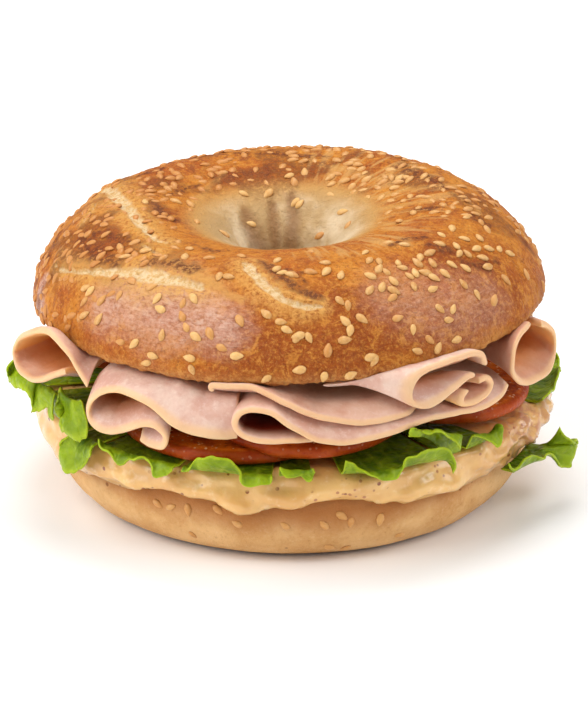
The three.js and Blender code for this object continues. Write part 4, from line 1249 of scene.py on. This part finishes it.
# The rim of each slice, as angle, radius, height and the height to which it is pressed.
folds = {
    "left_roll": [
        (-46.6, 60.5, 37.7, 43.4), (-49.1, 61, 40.9, 43.4), (-51.8, 62, 44.9, 43.4),
        (-56.5, 63, 47.4, 43.4), (-59.9, 63.5, 46.8, 43.2), (-64.8, 64, 44.4, 42.4),
        (-69.9, 64.5, 40.7, 41), (-71.4, 65, 37.4, 39), (-69.4, 65, 35, 37), (-64.5, 64.6, 34.3, 35.6),
        (-59.6, 64, 35.4, 35.6), (-56.2, 63, 37.6, 36.4), (-52.4, 61.6, 39.6, 38),
    ],
    "left_front": [
        (-11.2, 58.6, 32.8, 41), (-14.8, 59.6, 32.6, 41), (-18.6, 60.3, 33, 41.2),
        (-24.1, 60.8, 34.5, 43.2), (-30, 61, 38.4, 43.3), (-36.6, 61, 39.7, 43.3),
        (-40.2, 61, 38.7, 43), (-43.3, 61, 36.7, 42), (-45.3, 61, 34.5, 40.4), (-46.2, 61, 32, 38.4),
        (-45.5, 61, 30, 36.4), (-43.5, 61, 29.1, 35.2), (-39.5, 61, 29.2, 34.8),
        (-35.1, 61, 31.2, 36.6), (-31.7, 61, 33, 38.4), (-28.3, 61, 33.3, 38.4),
        (-26.2, 60.8, 31.4, 36.8), (-27, 60.5, 28.8, 34.9), (-30.2, 60.2, 28.4, 34.5),
        (-32.6, 60, 29.4, 34.5),
    ],
    "front_roll": [
        (51, 60.5, 37, 37), (49.6, 60.5, 35.2, 36.2), (46.6, 60.5, 34.2, 35.6),
        (41.6, 60.5, 33.9, 35.5), (36, 60.5, 34.6, 35.3), (29.3, 60.6, 35, 35.5),
        (24.6, 60.8, 34.3, 36.2), (19.1, 61, 33.3, 37.1), (12.1, 61, 32.4, 37.3), (5.6, 61, 33.3, 37.6),
        (0.3, 61, 36.5, 39.3), (-4, 61, 39.7, 41.2), (-7.5, 61, 40.4, 41.3), (-10.2, 61, 39.4, 40),
        (-11.3, 61, 37, 38), (-10, 61, 34.5, 36), (-6.6, 61, 33.2, 35), (-1.4, 60.6, 33.1, 35),
        (1.6, 60, 33, 35), (4.8, 58, 32.4, 34.6),
    ],
    "upper_front": [
        (-17, 57, 42.2, 42.6), (-17.2, 57.2, 43.4, 43.4), (-13.2, 57.6, 43.9, 43.4),
        (-8, 58, 44.1, 43.4), (-4.4, 58.8, 43, 43.4), (-0.8, 59.8, 41.4, 42.1), (4.8, 60, 38.7, 39.7),
        (10.5, 60, 37, 39.3), (16, 60, 36.1, 39.3), (21, 60, 36.3, 39.3), (25, 59.4, 36.9, 39.4),
        (28.4, 57, 37.3, 39.4),
    ],
    "right_roll": [
        (44.4, 60, 43.4, 43.4), (43.4, 60, 45.8, 45), (41.3, 60, 46.9, 46), (38.3, 60, 47.1, 46),
        (33, 60.2, 47, 46), (28.3, 60.6, 46.3, 46), (25.7, 61, 44.6, 46), (24.8, 61, 42, 45.6),
        (25.2, 61, 39.8, 45), (27, 61, 38.4, 44.2), (29.4, 61, 38, 43.2), (32, 61, 39, 42.4),
        (35, 61, 40.8, 41.6), (38.2, 61, 42.4, 41.3), (40.2, 61, 42.8, 41.3),
    ],
    "right_curl": [
        (41.4, 61, 40.9, 39.3), (43.8, 61, 40.7, 39.2), (45.3, 61, 39, 38.4), (44.6, 61, 37.4, 37.6),
        (42.2, 61, 36.4, 37.3), (39.2, 61, 36.1, 37.3), (37.2, 61, 36.8, 37.6), (37.2, 61, 38.4, 38.2),
        (38.4, 61, 39.7, 38.8),
    ],
    "far_right_roll": [
        (61.6, 59.4, 46.9, 43.4), (56.8, 60, 46.6, 43.2), (53.7, 60.5, 44.9, 42.4),
        (52.2, 61, 42.2, 41), (52.3, 61, 39.3, 39), (54.2, 61, 36.7, 37.2), (57.7, 61, 34.8, 36),
        (63, 61.4, 33.9, 35.6), (67.4, 62, 34.3, 36), (70.4, 62, 36, 37.4), (71.2, 62, 38.6, 39.4),
        (69.9, 62, 42, 41.6), (67.8, 61, 44.6, 43.2), (65.4, 60.4, 45.8, 43.4),
    ],
    "right_side": [
        (84, 54.6, 39.6, 43.4), (89, 54.6, 41.6, 43.4), (95, 54.6, 42.2, 43.4), (101, 54.6, 40.8, 42.4),
        (102.6, 54.6, 38.4, 40), (98, 54.6, 36, 38), (91, 54.6, 35, 36.6), (85, 54.6, 35.4, 36.6),
    ],
}
folds["left_side"] = [(-a, r, h, p) for a, r, h, p in folds["right_side"]]
for name in ("far_right_roll", "front_roll", "left_front", "right_roll", "left_roll"):
    behind = [(180 - a, r - back_shorter, min(h, back_highest), p) for a, r, h, p in folds[name]]
    folds[f"back_{name}"] = behind

usual_inside = 16           # how far a slice reaches in past the place where it is pressed
back_inside = 10
inside_of = {"right_roll": 1.5, "right_curl": 1.5, "right_side": 12, "left_side": 12}
heading_of = {"right_roll": (130, -1.8), "right_curl": (130, -1.8)}
pressed_at = {"right_side": 49, "left_side": 49}
most_depth = 17.0           # the longest way from a rim to where the slice is pressed
# How smoky a slice looks, which also paints shade on slices that lie in it, how brightly its inside
# glows with painted light where light would come through, how much painted shade darkens it
# deep inside, how much narrower its rind is, and which slices have no inside.
smoked_and_painted_shade = {"far_right_roll": 0.55, "right_curl": 0.6, "left_roll": 0.2, "upper_front": 0.4,
          "front_roll": 0.2}
glowing = {"left_roll": 1.0, "left_front": 0.9, "front_roll": 0.5, "right_roll": 0.15,
           "right_curl": 0.9}
deep_painted_shade_of = {"left_roll": 0.0, "left_front": 0.45, "right_roll": 0.35, "right_curl": 0.4,
         "far_right_roll": 0.1}
thin_rind = {"front_roll": 2.2, "upper_front": 2.0, "back_front_roll": 2.2}
open_sheets = ["upper_front"]
print("slices of ham:", len(folds) + 1)


# %% Shape of a slice
def under_crown(x, y):
    """The highest that a filling may reach under the crown, or beside it."""
    across = x - crown_offset
    angle = np.degrees(np.arctan2(across, -y))
    inside = rim_radius(angle) - np.hypot(across, y)
    lip = np.interp(inside, (0, 1.2, lip_width), (widest_height, 0.9, 0))
    lip = lip + 4 * np.maximum(-inside, 0)
    return crown_cut + lip + crown_tilt(across, y) - gap


def fold_heading(name, angle):
    """The direction in which a fold runs inwards, in degrees."""
    if name in heading_of:
        return heading_of[name][0] + heading_of[name][1] * angle
    return angle - ham_swing * np.sin(np.radians(angle))


def ham_place(name, angle, radius, height, pressed, share, reach_in):
    """A place on a fold: share 0 is its rim, 1 is where it is pressed and 2 its inner end."""
    heading = fold_heading(name, angle)
    inwards = radius * np.cos(np.radians(heading - angle))
    pressed_here = pressed_at.get(name, pressed_radius)
    to_press = inwards - np.sqrt(inwards**2 - radius**2 + pressed_here**2)
    to_press = np.minimum(to_press, most_depth)
    depth = np.minimum(share, 1) * to_press + np.maximum(share - 1, 0) * reach_in
    start = place(angle, radius, height)
    x = start[..., 0] - depth * np.sin(np.radians(heading))
    y = start[..., 1] + depth * np.cos(np.radians(heading))
    level = pressed + crown_tilt(x, y)
    turn = np.minimum(share, 1) * math.pi / 2
    press = np.where(height > level, 1 - np.cos(turn), np.sin(turn))
    return np.stack([x, y, height + (level - height) * press], -1)


def ham_sheet(name, points):
    """A slice with rounded edges, from the smooth line of its rim."""
    reach_in = back_inside if name.startswith("back_") else inside_of.get(name, usual_inside)
    stops = np.r_[0, 0.001, 0.004, 0.009, 0.016:0.984:190j, 0.991, 0.996, 0.999, 1]
    drawn = [(a * mm_per_degree, h, r) for a, r, h, p in points]
    line, passed = along_path(drawn, stops)
    pressed = np.interp(passed, range(len(points)), [p for *_, p in points])[:, None]
    even = np.linspace(0, 1, 400)
    ways = np.gradient(smooth_path(drawn, even)[:, :2], axis=0)
    ways = np.stack([np.interp(stops, even, ways[:, i]) for i in range(2)], -1)
    ways /= np.linalg.norm(ways, axis=1, keepdims=True)
    length = np.linalg.norm(np.diff(line, axis=0), axis=1).sum()
    share = np.r_[0, 0.008, 0.03, 0.07, 0.13, 0.2:1:14j, 1.07:2:16j]
    from_rim = np.minimum(share, 1) * rim_to_press + np.maximum(share - 1, 0) * reach_in
    from_end = np.minimum(stops, 1 - stops)[:, None] * length
    edge = np.minimum(np.minimum(from_end, from_rim), from_rim[-1] - from_rim)
    half = rounded(ham_thickness, edge, 0.55)
    wavy = 0.22 * uneven(place(line[:, 0] / mm_per_degree, line[:, 2], line[:, 1]), 5, 2, len(name))
    height = (line[:, 1] + wavy)[:, None]
    grids = []
    for side in (1, -1):
        angle = (line[:, None, 0] - side * ways[:, None, 1] * half) / mm_per_degree
        grid = ham_place(name, angle, line[:, None, 2], height, pressed, share[None, :], reach_in)
        highest = under_crown(grid[..., 0], grid[..., 1]) - ham_thickness / 2
        grid[..., 2] = np.minimum(grid[..., 2], highest) + side * ways[:, None, 0] * half
        grids.append(grid)
    away = grids[0] - grids[1]
    up = away[..., 2] / np.maximum(np.linalg.norm(away, axis=-1), 1e-6)
    # The face inside a roll is the one on the side to which its rim turns. Where that face looks
    # down, a painted glow stands for the light that comes through the slice.
    turning = (line[:-1, 0] * line[1:, 1] - line[1:, 0] * line[:-1, 1]).sum()
    hollow = (0.0, 0.0) if name in open_sheets else (float(turning > 0), float(turning <= 0))
    one = np.ones_like(half)
    rind = one * thin_rind.get(name, 1) * np.minimum(from_rim, from_end + 0.2)
    lit = [ease(way * up, -0.6, 0.5) * glowing.get(name, 0.8) for way in (-1, 1)]
    values = {
        "rind": (rind, rind),
        "deep": (one * from_rim,) * 2,
        "inside": [one * share_in for share_in in hollow],
        "painted_deep_shade": [one * share_in * deep_painted_shade_of.get(name, 1) for share_in in hollow],
        "painted_glow": [painted_glow * share_in for painted_glow, share_in in zip(lit, hollow)],
        "smoke_and_painted_shade": (one * smoked_and_painted_shade.get(name, 0),) * 2,
    }
    return make_sheet(f"ham_{name}_slice", *grids, **values)


ham = Finish("sliced_ham")
for name, points in folds.items():
    dress(ham_sheet(name, points), ham, "ham", f"ham_{name}")


# %% The slice across the middle
def middle_slice():
    """A wavy round slice that lies flat under the hole."""
    u = np.r_[-1, -0.995, -0.98, -0.95:0.95:50j, 0.98, 0.995, 1]
    a, b = np.meshgrid(u, u, indexing="ij")
    x = middle_radius * a * np.sqrt(1 - b * b / 2)
    y = middle_radius * b * np.sqrt(1 - a * a / 2)
    edge = middle_radius - np.hypot(x, y)
    half = rounded(ham_thickness, edge, 0.7)
    z = middle_level + 0.8 * np.sin(x / 5) + 0.5 * np.sin(y / 4)
    upper = np.stack([x, y, z + half], -1)
    lower = np.stack([x, y, z - half], -1)
    plain = (0 * edge, 0 * edge)
    return make_sheet("ham_middle_slice", upper, lower, rind=(edge, edge), deep=plain)


dress(middle_slice(), ham, "ham", "ham_middle")

# %% Finish of the ham
soft = ham.cloudy(6, 4)
fine = ham.cloudy(1.1, 5, 0.65)
# Painted warm light inside the rolls, as if light came through the ham and bounced within.
painted_warm_light = ham.times(ham.times("inside", ham.stretch("deep", 0.5, 6)), 0.8)
rind = ham.plus("rind", ham.times(soft, 0.8))
shade = ham.blend(
    (226, 194, 176),
    (ham.stretch(soft, 0.35, 0.65), (208, 162, 144)),
    (ham.stretch(fine, 0.5, 0.68, 0, 0.3), (240, 220, 206)),
    # A smoked tan, which also paints shade on the slices that lie in shade.
    (ham.times("smoke_and_painted_shade", 0.9), (206, 140, 98)),
    (painted_warm_light, (236, 164, 100)),
    # A painted glow where light would shine through the slice.
    (ham.times("painted_glow", 0.95), (255, 204, 128)),
    # Painted shade deep inside the rolls.
    (ham.times("painted_deep_shade", ham.stretch("deep", 0.2, 3.5)), (120, 34, 12)),
    (ham.stretch(rind, 1.4, 0.5, 0, 0.8), (230, 184, 134)),
)
ham.shine(shade, roughness=0.42, specular=0.4)
ham.soften(0.25, 2.5, 1.7, 1.3)
ham.raise_skin((fine, 0.14))
print("ham finish:", len(ham.tree.nodes), "nodes")

# %% [markdown]
# ## Lettuce
# The lettuce lies on the spread and comes out in frills. Each leaf is a thin sheet that starts
# flat, bends up over a crest and hangs down to a rim drawn as a smooth line, as its solid does.
# Real leaves crinkle between their veins and curl at the edge, so noise bends the sheet more and
# more towards the rim.

# %% Sizes of the lettuce
leaf_level = 24.2
leaf_root = 19.0
leaf_bend = 57.6
leaf_bulge = 0.6
leaf_thickness = 0.55
half_leaf_depth = 12
vein_gap = 5
vein_width = 0.12


def ruffled_rim(start, end, radius, height, ruffle, waves):
    """The rim of a leaf with an even ruffle."""
    share = np.linspace(0, 1, 4 * waves + 1)
    wave = np.sin(share * waves * 2 * math.pi + start)
    return [(start + (end - start) * s, radius, height + ruffle * w) for s, w in zip(share, wave)]


leaves = [
    # from, to, height of the crest, rim as angle, radius and height
    (-78, -61, 38, [
        (-76, 64.8, 31), (-77.6, 64.8, 28.2), (-71.4, 63.5, 28.7), (-67.9, 63, 29.4),
        (-66.9, 62.5, 26.9), (-67.2, 62, 24.5), (-64.2, 61.5, 25.6), (-62.1, 61, 27.1),
        (-60.8, 60.8, 25), (-59.6, 60.6, 26),
    ]),
    (-59.5, -53.5, 41, [
        (-54.6, 61.8, 30), (-54, 62.2, 27.4), (-51.6, 62.6, 25.5), (-48.6, 62.4, 24.9), (-46.2, 62, 26),
        (-45.6, 61.6, 28.2),
    ]),
    (-52, -45.5, 25, [
        (-54.4, 61, 22.6), (-55.8, 61.5, 20), (-55.5, 61.5, 17), (-53.6, 61.5, 15.6),
        (-51.5, 61.5, 15.9), (-49.6, 61.5, 17.3), (-47, 61.5, 20.2), (-45, 61.3, 23),
    ]),
    (-44, -24.5, 25, [
        (-43.4, 60.3, 26.8), (-42, 61, 25.6), (-40.3, 61.2, 25), (-37.6, 61.3, 22.6),
        (-36.4, 61.2, 22.9), (-35, 60.8, 25), (-32.6, 60.4, 26.2), (-31.2, 60.3, 25.8),
        (-29.9, 60.6, 24), (-29, 60.8, 21.7), (-27, 60.8, 22.2), (-24.8, 60.6, 24),
    ]),
    (-23, -4, 25, [
        (-23.3, 60, 23.8), (-21.2, 60.5, 25.5), (-19.5, 60.5, 27.5), (-16.8, 61, 29), (-14.5, 61, 29.3),
        (-12.2, 61, 28.5), (-10.8, 61, 26.5), (-10.1, 61, 24), (-8.8, 61, 22.5), (-6, 60.7, 23.1),
        (-4.2, 60.3, 23.2), (-3.6, 60, 24.6),
    ]),
    (-2.6, 4.4, 28, [
        (-2.2, 59.8, 26), (-1.4, 60.2, 25), (0.2, 60.4, 24.5), (2, 60.4, 25), (3.4, 60.6, 23.8),
        (4.3, 60.6, 24.4), (4.4, 60.2, 25.8),
    ]),
    (10.5, 33.5, 25, [
        (11.1, 59.6, 28), (12.5, 60, 27.4), (13.4, 60.5, 25.9), (15.1, 61, 24.6), (17.6, 61, 24),
        (21.5, 61.7, 23.3), (22.6, 62, 25.7), (23.6, 62.4, 28), (26, 62.8, 29.6), (30.3, 63, 28.9),
        (33.1, 63, 26.7), (34.7, 62.5, 23.6), (34.2, 62, 21.7),
    ]),
    (35, 39.5, 32, [
        (23.6, 61.9, 32.6), (24.2, 62, 34.6), (26, 62, 33.9), (27.9, 62, 32.3), (30, 61.8, 31.8),
        (32, 61.8, 31), (34, 61.8, 29.3), (36.2, 61.6, 26.6),
    ]),
    (41, 49, 29, [
        (41, 60.2, 28), (42.9, 60.5, 27), (44.8, 60.8, 25.4), (46.5, 61.3, 23.8), (47.9, 61.3, 25),
        (48.8, 61, 26.8), (49.2, 60.6, 27.8),
    ]),
    (57, 73, 15, [
        (51.6, 60.4, 18), (51.9, 60.8, 16.8), (53.2, 61, 15.7), (55.2, 61.4, 15.6), (56.4, 61.8, 17.4),
        (58.4, 62, 17.6), (66, 62.5, 14.6), (69.6, 63.2, 12.4), (71.4, 64, 9.9), (73.6, 64.8, 8.4),
        (75.4, 65.4, 9.6), (76, 66, 12), (79.5, 66, 11.8), (74, 65.8, 15.4), (71.4, 64.6, 17),
        (70.4, 63.4, 19.4),
    ]),
    (72, 108, 25, [
        (71, 59.6, 25), (74, 60.2, 26.4), (78, 60.6, 25), (82, 60.9, 28.4), (86, 61.2, 27),
        (90, 61.2, 24), (95, 61.4, 26.4), (100, 61.5, 23.6), (106, 61.2, 25.4),
    ]),
    (112, 186, 25, ruffled_rim(112, 186, 61.2, 23.4, 2, 6)),
    (190, 278, 25, ruffled_rim(190, 278, 61.2, 22.8, 2.2, 7)),
]
# The leaf at the far right hangs out under the spread's edge.
special_leaf = {10: (55.4, 13.4, 58.4)}
print("leaves:", len(leaves))


# %% Shape of the leaves
def leaf_sheet(number, start, end, crest_height, rim):
    """A leaf that crinkles more and more towards its rim."""
    root, level, bend = special_leaf.get(number, (leaf_root, leaf_level, leaf_bend))
    across = np.r_[0, 0.002, 0.006, 0.012:0.988:150j, 0.994, 0.998, 1]
    u = across[:, None]
    v = np.r_[0, 0.01, 0.05:0.5:7j, 0.525:0.97:22j, 0.985, 0.995, 1]
    drawn = smooth_path([(a * mm_per_degree, h, r) for a, r, h in rim], across)
    length = np.linalg.norm(np.diff(drawn, axis=0), axis=1).sum()
    rim_angle = drawn[:, None, 0] / mm_per_degree
    angle = start + (end - start) * u
    # The first half of the leaf lies flat, and the second half hangs out over the crest.
    flat = place(angle, root + (bend - root) * np.clip(v / 0.5, 0, 1), level)
    out = np.clip((v - 0.5) / 0.5, 0, 1)
    t = out[None, :, None]
    first = place(angle, bend, level)
    crest_radii = (bend + drawn[:, None, 2]) / 2 + leaf_bulge
    crest = place((angle + rim_angle) / 2, crest_radii, crest_height)
    tip = place(rim_angle, drawn[:, None, 2], drawn[:, None, 1])
    hanging = (1 - t) ** 2 * first + 2 * t * (1 - t) * crest + t**2 * tip
    middle = np.where((v <= 0.5)[None, :, None], flat, hanging)
    # Only the very rim frills in and out along the way that it hangs.
    middle += (tip - crest) / 14 * (t**6) * uneven(tip, 2.2, 3, 70 + number)[..., None]
    normals = grid_normals(middle)
    between = (u * length / vein_gap + 0.8 * uneven(middle, 9, 2, 50 + number)) % 1
    vein = np.exp(-(((between - 0.5) / vein_width) ** 2))
    crinkle = noises(middle, (1.3, 6, 1, 40 + number), (0.8, 3.2, 1, 41 + number))
    middle = middle + normals * (out * (crinkle + 0.06 * vein))[..., None]
    normals = grid_normals(middle)
    from_edge = np.minimum(np.minimum(u, 1 - u) * length, np.minimum(1 - v, v) * half_leaf_depth)
    half = rounded(leaf_thickness, from_edge, 0.4)[..., None]
    out = np.broadcast_to(out, vein.shape)
    values = {"out": (out, out), "vein": (vein, vein), "edge": (from_edge, from_edge)}
    return make_sheet(f"leaf_{number}", middle + normals * half, middle - normals * half, **values)


lettuce = Finish("lettuce_leaf")
for i, values in enumerate(leaves):
    dress(leaf_sheet(i + 1, *values), lettuce, "lettuce", f"lettuce_leaf_{i + 1}")

# %% Finish of the lettuce
fine = lettuce.cloudy(1.3, 4)
shade = lettuce.blend(
    (126, 148, 14),
    (lettuce.stretch(lettuce.cloudy(5, 4), 0.38, 0.62), (78, 106, 8)),
    # Brighter where the leaf hangs out: a paler frill, and painted light that lifts the shade under the
    # ham.
    (lettuce.stretch("out", 0.4, 1.0, 0, 0.5), (148, 170, 14)),
    (lettuce.times("vein", 0.3), (160, 184, 50)),
    (lettuce.stretch(fine, 0.5, 0.75, 0, 0.25), (176, 190, 40)),
    (lettuce.stretch("edge", 0.5, 0.15, 0, 0.4), (182, 196, 34)),
)
small_veins = lettuce.stretch(lettuce.cells(2.4, "DISTANCE_TO_EDGE"), 0, 0.3)
lettuce.shine(shade, roughness=0.36, specular=0.18)
lettuce.soften(0.3, 1, 1.5, 0.3)
lettuce.raise_skin((small_veins, 0.14), (fine, 0.12))
print("lettuce finish:", len(lettuce.tree.nodes), "nodes")

# %% [markdown]
# ## Tidy up
# The single seed that the trees copied is not part of the bagel, so it is removed.

# %% Remove the single seed
bpy.data.objects.remove(seed)
